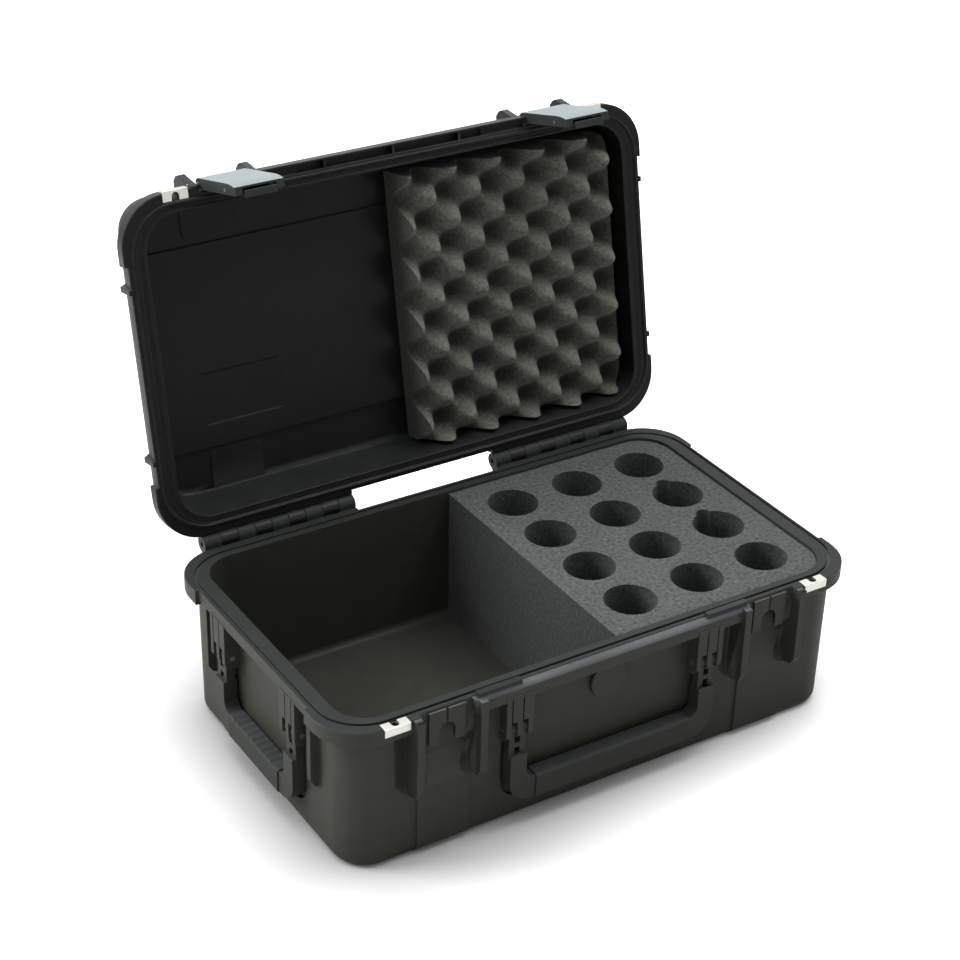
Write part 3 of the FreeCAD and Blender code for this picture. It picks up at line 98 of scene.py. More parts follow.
class Graph:
    """A thin helper that adds shader nodes and links to one node tree."""

    # A Mix node's factor and two colours, and its mixed colour
    MIX_INPUTS = (0, 6, 7)
    MIX_OUTPUT = 2

    def __init__(self, tree: bpy.types.NodeTree) -> None:
        """Keep the tree."""
        self.tree = tree

    def feed(self, node: bpy.types.Node, inputs: dict) -> None:
        """Link or set inputs of a node.

        Args:
            node: the node.
            inputs: output sockets or plain values, by the input's name or number.
        """
        for name, value in inputs.items():
            if isinstance(value, bpy.types.NodeSocket):
                self.tree.links.new(value, node.inputs[name])
            else:
                node.inputs[name].default_value = value

    def add(self, kind: str, inputs: dict | None = None, **settings: object) -> bpy.types.Node:
        """Add a node, set its properties and feed its inputs.

        Args:
            kind: the node type without its ShaderNode prefix.
            inputs: output sockets or plain values, by the input's name or number.
            settings: properties by name.

        Returns:
            The new node.
        """
        node = self.tree.nodes.new("ShaderNode" + kind)
        for name, value in settings.items():
            setattr(node, name, value)
        self.feed(node, inputs or {})
        return node

    def math(self, operation: str, *values: object, clamp: bool = False) -> bpy.types.NodeSocket:
        """Add a math node.

        Args:
            operation: the math operation.
            values: sockets or numbers, in order.
            clamp: hold the result between 0 and 1.

        Returns:
            The node's output.
        """
        node = self.add("Math", dict(enumerate(values)), operation=operation, use_clamp=clamp)
        return node.outputs[0]

    def mix(self, factor: object, low: object, high: object) -> bpy.types.NodeSocket:
        """Mix two colours.

        Args:
            factor: a socket or a number.
            low: the colour at factor 0, a socket or a tuple.
            high: the colour at factor 1, a socket or a tuple.

        Returns:
            The mixed colour's socket.
        """
        node = self.add("Mix", dict(zip(self.MIX_INPUTS, (factor, low, high))), data_type="RGBA")
        return node.outputs[self.MIX_OUTPUT]

    def ramp(self, value: bpy.types.NodeSocket, start: float, end: float, first: float = 0.0,
             last: float = 1.0, kind: str = "LINEAR") -> bpy.types.NodeSocket:
        """Map one range of values onto another and hold the ends.

        Args:
            value: what is mapped.
            start: the value where the ramp starts.
            end: the value where it ends.
            first: the result up to its start.
            last: the result from its end on.
            kind: how it runs between them.

        Returns:
            The result's socket.
        """
        inputs = {"Value": value, "From Min": start, "From Max": end, "To Min": first, "To Max": last}
        return self.add("MapRange", inputs, interpolation_type=kind).outputs[0]

    def bump(self, height: bpy.types.NodeSocket, strength: float, distance: float,
             normal: bpy.types.NodeSocket | None = None) -> bpy.types.NodeSocket:
        """Turn heights into a normal.

        Args:
            height: the heights.
            strength: how much of the bump shows.
            distance: what a height of 1 stands for, in metres.
            normal: the normal that the bump starts from.

        Returns:
            The normal's socket.
        """
        node = self.add("Bump", {"Height": height, "Strength": strength, "Distance": distance})
        if normal is not None:
            self.feed(node, {"Normal": normal})
        return node.outputs[0]

    def effect(self, tree: bpy.types.NodeTree, **values: float) -> bpy.types.Node:
        """Place a shared effect with its own values.

        Args:
            tree: the shared group.
            values: numbers for the group's inputs, by name.

        Returns:
            The group's node.
        """
        return self.add("Group", values, node_tree=tree)


class Effects:
    """Shader groups that more than one finish uses, each built once."""

    WEAR_SPREAD = 1.6
    WEAR_SHIFT = -0.2
    SWELL_WEIGHT = 0.6
    PATCH_ROUGHNESS = 0.65

    @staticmethod
    def _start(name: str, inputs: dict[str, float],
               outputs: dict[str, str]) -> tuple[Graph, bpy.types.Node, bpy.types.Node]:
        """Make an empty group with named sockets.

        Args:
            name: the group's name.
            inputs: input names with their first values.
            outputs: output names with their socket kinds.

        Returns:
            The graph, the group's input node and its output node.
        """
        tree = bpy.data.node_groups.new(name, "ShaderNodeTree")
        for label, value in inputs.items():
            socket = tree.interface.new_socket(label, in_out="INPUT", socket_type=FLOAT)
            socket.default_value = value
        for label, kind in outputs.items():
            tree.interface.new_socket(label, in_out="OUTPUT", socket_type=kind)
        return Graph(tree), tree.nodes.new("NodeGroupInput"), tree.nodes.new("NodeGroupOutput")

    @classmethod
    @cache
    def edge_wear(cls) -> bpy.types.NodeTree:
        """A mask along outer edges, broken by noise, and the normal of slightly rounded edges.

        Returns:
            The group.
        """
        graph, given, out = cls._start("EdgeWear", {"Radius": 0.0008, "Gain": 6.0, "Scale": 90.0},
                                       {"Mask": FLOAT, "Normal": VECTOR})
        rounded = graph.add("Bevel", {"Radius": given.outputs["Radius"]}, samples=6)
        plain = graph.add("NewGeometry")
        alike = graph.add("VectorMath", {0: rounded.outputs[0], 1: plain.outputs["Normal"]},
                          operation="DOT_PRODUCT")
        place = graph.add("TexCoord")
        noise = graph.add("TexNoise", {"Vector": place.outputs["Object"],
                                       "Scale": given.outputs["Scale"], "Detail": 3.0})
        uneven = graph.math("MULTIPLY_ADD", noise.outputs["Fac"], cls.WEAR_SPREAD, cls.WEAR_SHIFT)
        turned = graph.math("SUBTRACT", 1.0, alike.outputs["Value"])
        mask = graph.math("MULTIPLY", turned, given.outputs["Gain"])
        graph.feed(out, {"Mask": graph.math("MULTIPLY", mask, uneven, clamp=True),
                         "Normal": rounded.outputs[0]})
        return graph.tree

    @classmethod
    @cache
    def grain(cls) -> bpy.types.NodeTree:
        """The height of a fine moulded texture: small cells with a soft swell under them.

        Returns:
            The group.
        """
        graph, given, out = cls._start("MouldGrain", {"Cells": 900.0, "Swell": 60.0},
                                       {"Height": FLOAT, "Patch": FLOAT})
        place = graph.add("TexCoord")
        cells = graph.add("TexNoise", {"Vector": place.outputs["Object"],
                                       "Scale": given.outputs["Cells"], "Detail": 2.0})
        swell = graph.add("TexNoise", {"Vector": place.outputs["Object"],
                                       "Scale": given.outputs["Swell"], "Detail": 4.0})
        soft = graph.math("MULTIPLY", swell.outputs["Fac"], cls.SWELL_WEIGHT)
        graph.feed(out, {"Height": graph.math("ADD", cells.outputs["Fac"], soft),
                         "Patch": swell.outputs["Fac"]})
        return graph.tree

    @classmethod
    @cache
    def dust_and_painted_sheen(cls) -> bpy.types.NodeTree:
        """A mask of thin dust and painted sky reflection on up-facing faces between two heights, and a mask
        of what is above.

        Returns:
            The group.
        """
        graph, given, out = cls._start(
            "DustAndPaintedSheen", {"Amount": 0.3, "Scale": 14.0, "Floor": -10.0, "Ceiling": 10.0},
            {"Mask": FLOAT, "Above": FLOAT})
        place = graph.add("TexCoord")
        tilt = graph.add("SeparateXYZ", {0: place.outputs["Normal"]})
        height = graph.add("SeparateXYZ", {0: place.outputs["Object"]})
        patches = graph.add("TexNoise", {"Vector": place.outputs["Object"],
                                         "Scale": given.outputs["Scale"], "Detail": 8.0,
                                         "Roughness": cls.PATCH_ROUGHNESS})
        # The clamp takes away the faces that look down.
        up = graph.math("MULTIPLY", tilt.outputs["Z"], 1.0, clamp=True)
        below = graph.math("LESS_THAN", height.outputs["Z"], given.outputs["Ceiling"])
        over = graph.math("GREATER_THAN", height.outputs["Z"], given.outputs["Floor"])
        dusty = graph.math("MULTIPLY", graph.math("MULTIPLY", up, below), over)
        thick = graph.math("MULTIPLY", dusty, patches.outputs["Fac"])
        graph.feed(out, {"Mask": graph.math("MULTIPLY", thick, given.outputs["Amount"], clamp=True),
                         "Above": graph.math("SUBTRACT", 1.0, below)})
        return graph.tree


def new_material(name: str) -> tuple[bpy.types.Material, Graph, bpy.types.Node]:
    """Make an empty material.

    Args:
        name: the material's name.

    Returns:
        The material, its graph and its shader.
    """
    material = bpy.data.materials.new(name)
    material.use_nodes = True
    return material, Graph(material.node_tree), material.node_tree.nodes["Principled BSDF"]


@dataclass(frozen=True)
class Finish(ABC):
    """What a piece is made of."""

    name: str

    @abstractmethod
    def dress(self, graph: Graph, shader: bpy.types.Node) -> None:
        """Add the finish's nodes to an empty material.

        Args:
            graph: the material's graph.
            shader: the material's shader.
        """

    def material(self) -> bpy.types.Material:
        """The finish as a material, made once.

        Returns:
            The material.
        """
        if self.name in bpy.data.materials:
            return bpy.data.materials[self.name]
        material, graph, shader = new_material(self.name)
        self.dress(graph, shader)
        return material


@dataclass(frozen=True)
class Plastic(Finish):
    """Moulded plastic: colour, lighter worn edge, fine grain, dust with painted sheen, and painted shade on
    top.
    """

    colour: Colour
    worn: Colour
    roughness: float = 0.5
    grain_depth: float = 0.25
    wear: float = 5.0
    dust_and_painted_sheen: float = 0.25
    edge: float = 0.0008
    gloss: float = 0.14
    dust_and_sheen_floor: float = -10.0
    ceiling: float = 10.0
    dust_and_sheen_colour: Colour = (0.15, 0.165, 0.175)
    rim_painted_shade_colour: Colour = (0.020, 0.026, 0.030)
    rim_painted_shade: float = 0.6
    patch_weight: float = 0.5
    dark_share: float = 0.72
    light_share: float = 1.2
    roughness_spread: float = 0.16
    grain_height: float = 0.00015

    def dress(self, graph: Graph, shader: bpy.types.Node) -> None:
        """Add the plastic's nodes.

        Args:
            graph: the material's graph.
            shader: the material's shader.
        """
        edges = graph.effect(Effects.edge_wear(), Radius=self.edge, Gain=self.wear)
        grain = graph.effect(Effects.grain())
        dust_and_painted_sheen = graph.effect(Effects.dust_and_painted_sheen(), Amount=self.dust_and_painted_sheen, Floor=self.dust_and_sheen_floor,
                            Ceiling=self.ceiling)
        patch = graph.math("MULTIPLY", grain.outputs["Patch"], self.patch_weight, clamp=True)
        colour = graph.mix(patch, opaque(self.colour, self.dark_share),
                           opaque(self.colour, self.light_share))
        colour = graph.mix(edges.outputs["Mask"], colour, opaque(self.worn))
        # Faces that look up turn light and bluish: partly thin dust, partly a painted reflection of the sky.
        colour = graph.mix(dust_and_painted_sheen.outputs["Mask"], colour, opaque(self.dust_and_sheen_colour))
        # Above the ceiling the same plastic is painted darker and bluer, as painted shade with a sky tint.
        rim = graph.math("MULTIPLY", dust_and_painted_sheen.outputs["Above"], self.rim_painted_shade)
        graph.feed(shader, {
            "Base Color": graph.mix(rim, colour, opaque(self.rim_painted_shade_colour)),
            "Roughness": graph.math("MULTIPLY_ADD", grain.outputs["Patch"], self.roughness_spread,
                                    self.roughness - self.roughness_spread / 2),
            "Normal": graph.bump(grain.outputs["Height"], self.grain_depth, self.grain_height,
                                 edges.outputs["Normal"]),
            "Specular IOR Level": self.gloss})


@dataclass(frozen=True)
class Foam(Finish):
    """Open-cell foam: fine pores, mottled grey, few light specks, painted shade on sides or hollows.

    The hollows are painted darkest where a point lies at low along the outward direction, and plain
    from high on.
    """

    dark: Colour
    light: Colour
    side_painted_shade: float = 0.0
    hollow_painted_shade: float = 0.0
    hollow_share: float = 0.2
    outward: Point = (0.0, 0.0, 1.0)
    low: float = 0.0
    high: float = 1.0
    pore_scale: float = 620.0
    pore_weight: float = 0.8
    pore_depth: float = 0.9
    pore_height: float = 0.0006
    pores_per_fleck: float = 2.2
    fleck_range: tuple[float, float] = (0.34, 0.68)
    fleck_weight: float = 0.85
    cloud_scale: float = 22.0
    cloud_weight: float = 0.12
    speck_scale: float = 170.0
    speck_size: float = 0.09
    speck_rarity: float = 0.8
    speck_strength: float = 0.45
    speck_colour: Colour = (0.62, 0.62, 0.58)
    roughness: float = 0.95
    gloss: float = 0.12
    sheen: float = 0.12
    sheen_roughness: float = 0.6

    def tone(self, graph: Graph, here: bpy.types.NodeSocket,
             flecks: bpy.types.NodeSocket) -> bpy.types.NodeSocket:
        """How light the foam is at a point, from its flecks and broad clouds.

        Args:
            graph: the material's graph.
            here: the point.
            flecks: the fleck noise.

        Returns:
            A number from 0, dark, to 1, light.
        """
        clouds = graph.add("TexNoise", {"Vector": here, "Scale": self.cloud_scale, "Detail": 3.0})
        fleck = graph.math("MULTIPLY", graph.ramp(flecks, *self.fleck_range), self.fleck_weight)
        cloud = graph.math("MULTIPLY", clouds.outputs["Fac"], self.cloud_weight)
        return graph.math("ADD", fleck, cloud, clamp=True)

    def sides(self, graph: Graph, normal: bpy.types.NodeSocket) -> bpy.types.NodeSocket:
        """How much of its tone a face keeps: all where it looks up, less where it stands, as painted shade.

        Args:
            graph: the material's graph.
            normal: the face's normal.

        Returns:
            A number from 0 to 1.
        """
        tilt = graph.add("SeparateXYZ", {0: normal})
        upright = graph.math("SUBTRACT", 1.0, tilt.outputs["Z"], clamp=True)
        return graph.math("SUBTRACT", 1.0, graph.math("MULTIPLY", upright, self.side_painted_shade))

    def hollows(self, graph: Graph, here: bpy.types.NodeSocket) -> bpy.types.NodeSocket:
        """A mask of painted shade in the hollows between the foam's peaks.

        Args:
            graph: the material's graph.
            here: the point.

        Returns:
            The mask.
        """
        reach = graph.add("VectorMath", {0: here, 1: self.outward}, operation="DOT_PRODUCT")
        return graph.ramp(reach.outputs["Value"], self.low, self.high, self.hollow_painted_shade, 0.0,
                          "SMOOTHSTEP")

    def specks(self, graph: Graph, here: bpy.types.NodeSocket) -> bpy.types.NodeSocket:
        """A mask of few small light specks.

        Args:
            graph: the material's graph.
            here: the point.

        Returns:
            The mask.
        """
        dots = graph.add("TexVoronoi", {"Vector": here, "Scale": self.speck_scale}, feature="F1")
        chance = graph.add("SeparateColor", {0: dots.outputs["Color"]})
        few = graph.math("GREATER_THAN", chance.outputs[0], self.speck_rarity)
        near = graph.math("LESS_THAN", dots.outputs["Distance"], self.speck_size)
        return graph.math("MULTIPLY", graph.math("MULTIPLY", near, few), self.speck_strength)

    def dress(self, graph: Graph, shader: bpy.types.Node) -> None:
        """Add the foam's nodes.

        Args:
            graph: the material's graph.
            shader: the material's shader.
        """
        place = graph.add("TexCoord")
        here = place.outputs["Object"]
        pores = graph.add("TexVoronoi", {"Vector": here, "Scale": self.pore_scale}, feature="F1")
        flecks = graph.add("TexNoise", {"Vector": here, "Scale": self.pore_scale / self.pores_per_fleck,
                                        "Detail": 5.0, "Roughness": 0.7}).outputs["Fac"]
        # Standing faces are painted darker than faces that look up, as painted shade.
        tone = graph.math("MULTIPLY", self.tone(graph, here, flecks),
                          self.sides(graph, place.outputs["Normal"]))
        colour = graph.mix(tone, opaque(self.dark), opaque(self.light))
        # The hollows are painted darker, as painted shade.
        colour = graph.mix(self.hollows(graph, here), colour, opaque(self.dark, self.hollow_share))
        colour = graph.mix(self.specks(graph, here), colour, opaque(self.speck_colour))
        holes = graph.math("MULTIPLY", pores.outputs["Distance"], self.pore_weight)
        height = graph.math("ADD", flecks, holes)
        graph.feed(shader, {
            "Base Color": colour, "Roughness": self.roughness, "Specular IOR Level": self.gloss,
            "Sheen Weight": self.sheen, "Sheen Roughness": self.sheen_roughness,
            "Normal": graph.bump(height, self.pore_depth, self.pore_height)})


@dataclass(frozen=True)
class Metal(Finish):
    """Rolled or turned metal with fine brush marks along X and small scuffs."""

    colour: Colour
    roughness: float = 0.28
    brush_stretch: Point = (14.0, 900.0, 900.0)
    brush_weight: float = 0.7
    brush_depth: float = 0.25
    brush_height: float = 0.00006
    scuff_scale: float = 160.0
    scuff_spread: float = 0.22
    scuff_drop: float = 0.08
    dark_share: float = 0.7
    edge: float = 0.0004
    wear: float = 2.0

    def dress(self, graph: Graph, shader: bpy.types.Node) -> None:
        """Add the metal's nodes.

        Args:
            graph: the material's graph.
            shader: the material's shader.
        """
        here = graph.add("TexCoord").outputs["Object"]
        stretch = graph.add("Mapping", {"Vector": here, "Scale": self.brush_stretch})
        lines = graph.add("TexNoise", {"Vector": stretch.outputs[0], "Scale": 1.0, "Detail": 4.0})
        scuffs = graph.add("TexNoise", {"Vector": here, "Scale": self.scuff_scale, "Detail": 6.0})
        edges = graph.effect(Effects.edge_wear(), Radius=self.edge, Gain=self.wear)
        shade = graph.math("MULTIPLY", lines.outputs["Fac"], self.brush_weight, clamp=True)
        graph.feed(shader, {
            "Base Color": graph.mix(shade, opaque(self.colour, self.dark_share), opaque(self.colour)),
            "Metallic": 1.0,
            "Roughness": graph.math("MULTIPLY_ADD", scuffs.outputs["Fac"], self.scuff_spread,
                                    self.roughness - self.scuff_drop),
            "Normal": graph.bump(lines.outputs["Fac"], self.brush_depth, self.brush_height,
                                 edges.outputs["Normal"])})


# The finishes. A plastic's numbers are its roughness, grain, wear, and dust with painted sheen.
# Above its ceiling the shell's top is painted darker and bluer, as painted shade.
# The shell's strong dust on faces that look up is mostly a painted bluish reflection of the sky.
SHELL = Plastic("shell_plastic", (0.0545, 0.0571, 0.0456), (0.105, 0.109, 0.095), 0.47, 0.35, 5.0, 1.1,
                dust_and_sheen_floor=0.06, ceiling=0.1515)
# The lid's plastic is the base's plastic painted far darker, as painted shade on the open lid's inside.
LID_PLASTIC_PAINTED_SHADE = Plastic("lid_plastic_painted_shade", (0.0076, 0.0079, 0.0066), (0.075, 0.078, 0.070), 0.33, 0.15, 2.0, 0.3,
                      edge=0.0020, gloss=0.135)
HANDLE_PLASTIC = Plastic("handle_plastic", (0.046, 0.048, 0.041), (0.095, 0.098, 0.088), 0.45, 0.3, 5.0, 0.4)
VENT_PLASTIC = Plastic("vent_plastic", (0.056, 0.057, 0.049), (0.11, 0.11, 0.10), 0.5, 0.2, 4.0, 0.15)
# The latch's up-facing faces: dark plastic painted pale as a reflection of the light above.
LATCH_PAINTED_REFLECTION = Plastic("latch_painted_reflection", (0.33, 0.385, 0.395), (0.46, 0.52, 0.53), 0.42, 0.15, 3.0, 0.1,
                     gloss=0.35)
LATCH_PLASTIC = Plastic("latch_plastic", (0.040, 0.044, 0.043), (0.16, 0.18, 0.18), 0.42, 0.15, 3.0, 0.1)
TRIGGER_PLASTIC = Plastic("trigger_plastic", (0.034, 0.036, 0.035), (0.13, 0.14, 0.14), 0.4, 0.12, 4.0, 0.1)
GRIP_RUBBER = Plastic("grip_rubber", (0.046, 0.049, 0.043), (0.085, 0.088, 0.080), 0.62, 0.5, 3.0, 0.45)
SEAL_RUBBER = Plastic("seal_rubber", grey(0.010), grey(0.02), 0.6, 0.3, 2.0, 0.1)
STAINLESS = Metal("stainless", (0.36, 0.352, 0.318), 0.30)
STEEL = Metal("plain_steel", grey(0.42), 0.35)
# The block's standing sides are painted darker than its top, as painted shade.
BLOCK_FOAM = Foam("block_foam", (0.028, 0.031, 0.030), (0.152, 0.169, 0.165), side_painted_shade=0.62)

# The lid's foam is measured along the way that the open lid's inside faces, and painted darker in its
# hollows as shade.
LID_OUTWARD = LID_OPEN.to_3x3() @ Vector((0, 0, -1))
LID_PANEL = LID_OUTWARD.dot(LID_OPEN @ Vector((0, 0, LID_PANEL_Z)))
PAINTED_SHADE_START = 0.012
PAINTED_SHADE_END = 0.046
LID_FOAM = Foam("lid_foam", (0.105, 0.105, 0.088), (0.262, 0.262, 0.224), hollow_painted_shade=0.8,
                outward=tuple(LID_OUTWARD), low=LID_PANEL + PAINTED_SHADE_START, high=LID_PANEL + PAINTED_SHADE_END)


def clear_selection() -> None:
    """Leave edit mode and select nothing."""
    if bpy.context.object is not None and bpy.context.object.mode != "OBJECT":
        bpy.ops.object.mode_set(mode="OBJECT")
    bpy.ops.object.select_all(action="DESELECT")


def make_active(piece: bpy.types.Object) -> None:
    """Select one piece alone and make it active.

    Args:
        piece: the piece.
    """
    clear_selection()
    piece.select_set(True)
    bpy.context.view_layer.objects.active = piece


def apply_modifiers(piece: bpy.types.Object) -> None:
    """Apply every modifier of a piece in order.

    Args:
        piece: the piece.
    """
    make_active(piece)
    for modifier in list(piece.modifiers):
        bpy.ops.object.modifier_apply(modifier=modifier.name)


def round_edges(piece: bpy.types.Object, width: float, steps: int, angle: float) -> None:
    """Round the edges that are sharper than an angle.

    Args:
        piece: the piece.
        width: the rounding's width.
        steps: its number of faces.
        angle: the least angle between two faces that are rounded.
    """
    bevel = piece.modifiers.new("rounded", "BEVEL")
    bevel.width = width
    bevel.segments = steps
    bevel.limit_method = "ANGLE"
    bevel.angle_limit = angle
    apply_modifiers(piece)


def give_finish(piece: bpy.types.Object, finish: Finish) -> None:
    """Put one finish on a piece.

    Args:
        piece: the mesh object.
        finish: its finish.
    """
    piece.data.materials.clear()
    piece.data.materials.append(finish.material())


@dataclass(frozen=True)
class Rounding:
    """How a rigid piece's edges are rounded: width in metres, steps, and the least angle."""

    width: float = 0.0006
    steps: int = 2
    angle: float = math.radians(35)


@dataclass
class RigidPiece:
    """A rigid piece: a copy of a CAD node with joined faces and rounded edges."""

    node: str
    body: str
    slot: str
    finish: Finish
    rounding: Rounding = Rounding()
    merge_distance: float = 0.00001
    flat_angle: float = math.radians(0.5)
    normal_weight: int = 100

    def copy_node(self) -> bpy.types.Object:
        """Copy the CAD node and join its loose triangles into faces.

        Returns:
            The copy.
        """
        make_active(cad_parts[self.node])
        bpy.ops.object.duplicate()
        piece = bpy.context.view_layer.objects.active
        piece.name = self.node + "_finish"
        piece.data.name = piece.name
        world = piece.matrix_world.copy()
        piece.parent = None
        piece.matrix_world = world
        bpy.ops.object.mode_set(mode="EDIT")
        bpy.ops.mesh.select_all(action="SELECT")
        bpy.ops.mesh.remove_doubles(threshold=self.merge_distance)
        bpy.ops.mesh.dissolve_limited(angle_limit=self.flat_angle)
        bpy.ops.object.mode_set(mode="OBJECT")
        return piece

    def smooth(self, piece: bpy.types.Object) -> None:
        """Shade the piece smooth, with normals that follow its large faces.

        Args:
            piece: the piece.
        """
        make_active(piece)
        bpy.ops.object.shade_smooth_by_angle(angle=SMOOTH_ANGLE)
        even = piece.modifiers.new("even normals", "WEIGHTED_NORMAL")
        even.keep_sharp = True
        even.weight = self.normal_weight
        apply_modifiers(piece)

    def build(self) -> bpy.types.Object:
        """Copy the node, round its edges, dress it and let it ride.

        Returns:
            The finished piece.
        """
        piece = self.copy_node()
        if self.rounding.width > 0:
            round_edges(piece, self.rounding.width, self.rounding.steps, self.rounding.angle)
        self.smooth(piece)
        give_finish(piece, self.finish)
        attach(piece, self.body)
        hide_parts(self.node)
        log.info("%s: %d faces", piece.name, len(piece.data.polygons))
        return piece


def keep_node(node: str, finish: Finish) -> None:
    """Leave a CAD node as it is, with a better finish.

    Args:
        node: the node's name.
        finish: its finish.
    """
    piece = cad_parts[node]
    if piece.material_slots:
        for holder in piece.material_slots:
            holder.material = finish.material()
    else:
        piece.data.materials.append(finish.material())
    log.info("%s: kept", node)


@dataclass
class BaseShell:
    """The moulded base with its vent, hinge pins and padlock plates."""

    edge: Rounding = Rounding(0.0)
    plate_edge: Rounding = Rounding(0.0003, 2)

    def build(self) -> None:
        """Build and dress the base's rigid pieces."""
        RigidPiece("base_shell", "base", "shell", SHELL, self.edge).build()
        RigidPiece("vent_cap", "base", "vent", VENT_PLASTIC, self.plate_edge).build()
        for node in ("vent_body", "vent_nut"):
            keep_node(node, VENT_PLASTIC)
        for side in Side:
            keep_node("hinge_pin_" + side.value, STEEL)
            plate = "padlock_plate_base_" + side.value
            RigidPiece(plate, "base", "stainless", STAINLESS, self.plate_edge).build()


@dataclass
class LidShell:
    """The moulded lid with its seal, latch pins and padlock plates."""

    edge: Rounding = Rounding(0.0)
    seal_edge: Rounding = Rounding(0.0008, 2)
    plate_edge: Rounding = Rounding(0.0003, 2)

    def build(self) -> None:
        """Build and dress the lid's rigid pieces."""
        RigidPiece("lid_shell", "lid", "shell", LID_PLASTIC_PAINTED_SHADE, self.edge).build()
        RigidPiece("lid_seal", "lid", "seal", SEAL_RUBBER, self.seal_edge).build()
        for side in Side:
            keep_node("latch_pin_" + side.value, STEEL)
            plate = "padlock_plate_lid_" + side.value
            RigidPiece(plate, "lid", "stainless", STAINLESS, self.plate_edge).build()


@dataclass
class Latch:
    """One draw latch with its trigger, pin and spring. Its up-facing faces are painted pale as a reflection
    of the light above; the rest is dark.
    """

    side: Side
    edge: Rounding = Rounding(0.0006, 3)
    face_tilt: float = math.radians(25)

    def paint_reflection(self, body: bpy.types.Object) -> None:
        """Paint the faces that look up pale, as a painted reflection of the light above.

        Args:
            body: the latch's body, open with the lid.
        """
        reflection_slot = len(body.data.materials)
        body.data.materials.append(LATCH_PAINTED_REFLECTION.material())
        for polygon in body.data.polygons:
            if polygon.normal.z > math.cos(self.face_tilt):
                polygon.material_index = reflection_slot

    def build(self) -> None:
        """Build and dress the latch."""
        name = self.side.value
        body = RigidPiece("latch_body_" + name, "latch_" + name, "latch", LATCH_PLASTIC, self.edge).build()
        self.paint_reflection(body)
        trigger = "latch_trigger_" + name
        RigidPiece(trigger, "trigger_" + name, "trigger", TRIGGER_PLASTIC, self.edge).build()
        keep_node("trigger_pin_" + name, STEEL)
        keep_node("trigger_spring_" + name, STEEL)


@dataclass
class Handle:
    """One folding handle: moulded core, rubber sleeve and pins."""

    place: Place
    edge: Rounding = Rounding(0.0012, 3)
    grip_edge: Rounding = Rounding(0.0005, 2)

    def build(self) -> None:
        """Build and dress the handle."""
        name = self.place.value + "_handle"
        RigidPiece(name + "_core", name, "handle", HANDLE_PLASTIC, self.edge).build()
        RigidPiece(name + "_grip", name, "grip", GRIP_RUBBER, self.grip_edge).build()
        keep_node(name + "_pins", STEEL)


def start_box(name: str, low: Vector, high: Vector) -> bpy.types.Object:
    """Add a cube, name it and stretch it between two corners. It stays in edit mode.

    Args:
        name: the piece's name.
        low: the corner with the least coordinates.
        high: the corner with the greatest.

    Returns:
        The box.
    """
    clear_selection()
    bpy.ops.mesh.primitive_cube_add(size=1, location=(0, 0, 0))
    piece = bpy.context.object
    piece.name = name
    bpy.ops.object.mode_set(mode="EDIT")
    bpy.ops.transform.resize(value=tuple(high - low))
    bpy.ops.transform.translate(value=tuple((high + low) / 2))
    return piece


def round_right_corners(piece: bpy.types.Object, low: Vector, high: Vector, radius: float,
                        steps: int) -> None:
    """Round the two upright edges at a box's right end, in edit mode.

    Args:
        piece: the box.
        low: its corner with the least coordinates.
        high: its corner with the greatest.
        radius: the corners' radius.
        steps: their number of faces.
    """
    mesh = bmesh.from_edit_mesh(piece.data)
    for edge in mesh.edges:
        first, second = edge.verts
        upright = abs(first.co.z - second.co.z) > (high.z - low.z) / 2
        edge.select_set(upright and first.co.x > (low.x + high.x) / 2)
    bmesh.update_edit_mesh(piece.data)
    bpy.ops.mesh.select_mode(type="EDGE")
    bpy.ops.mesh.bevel(offset=radius, segments=steps, affect="EDGES")


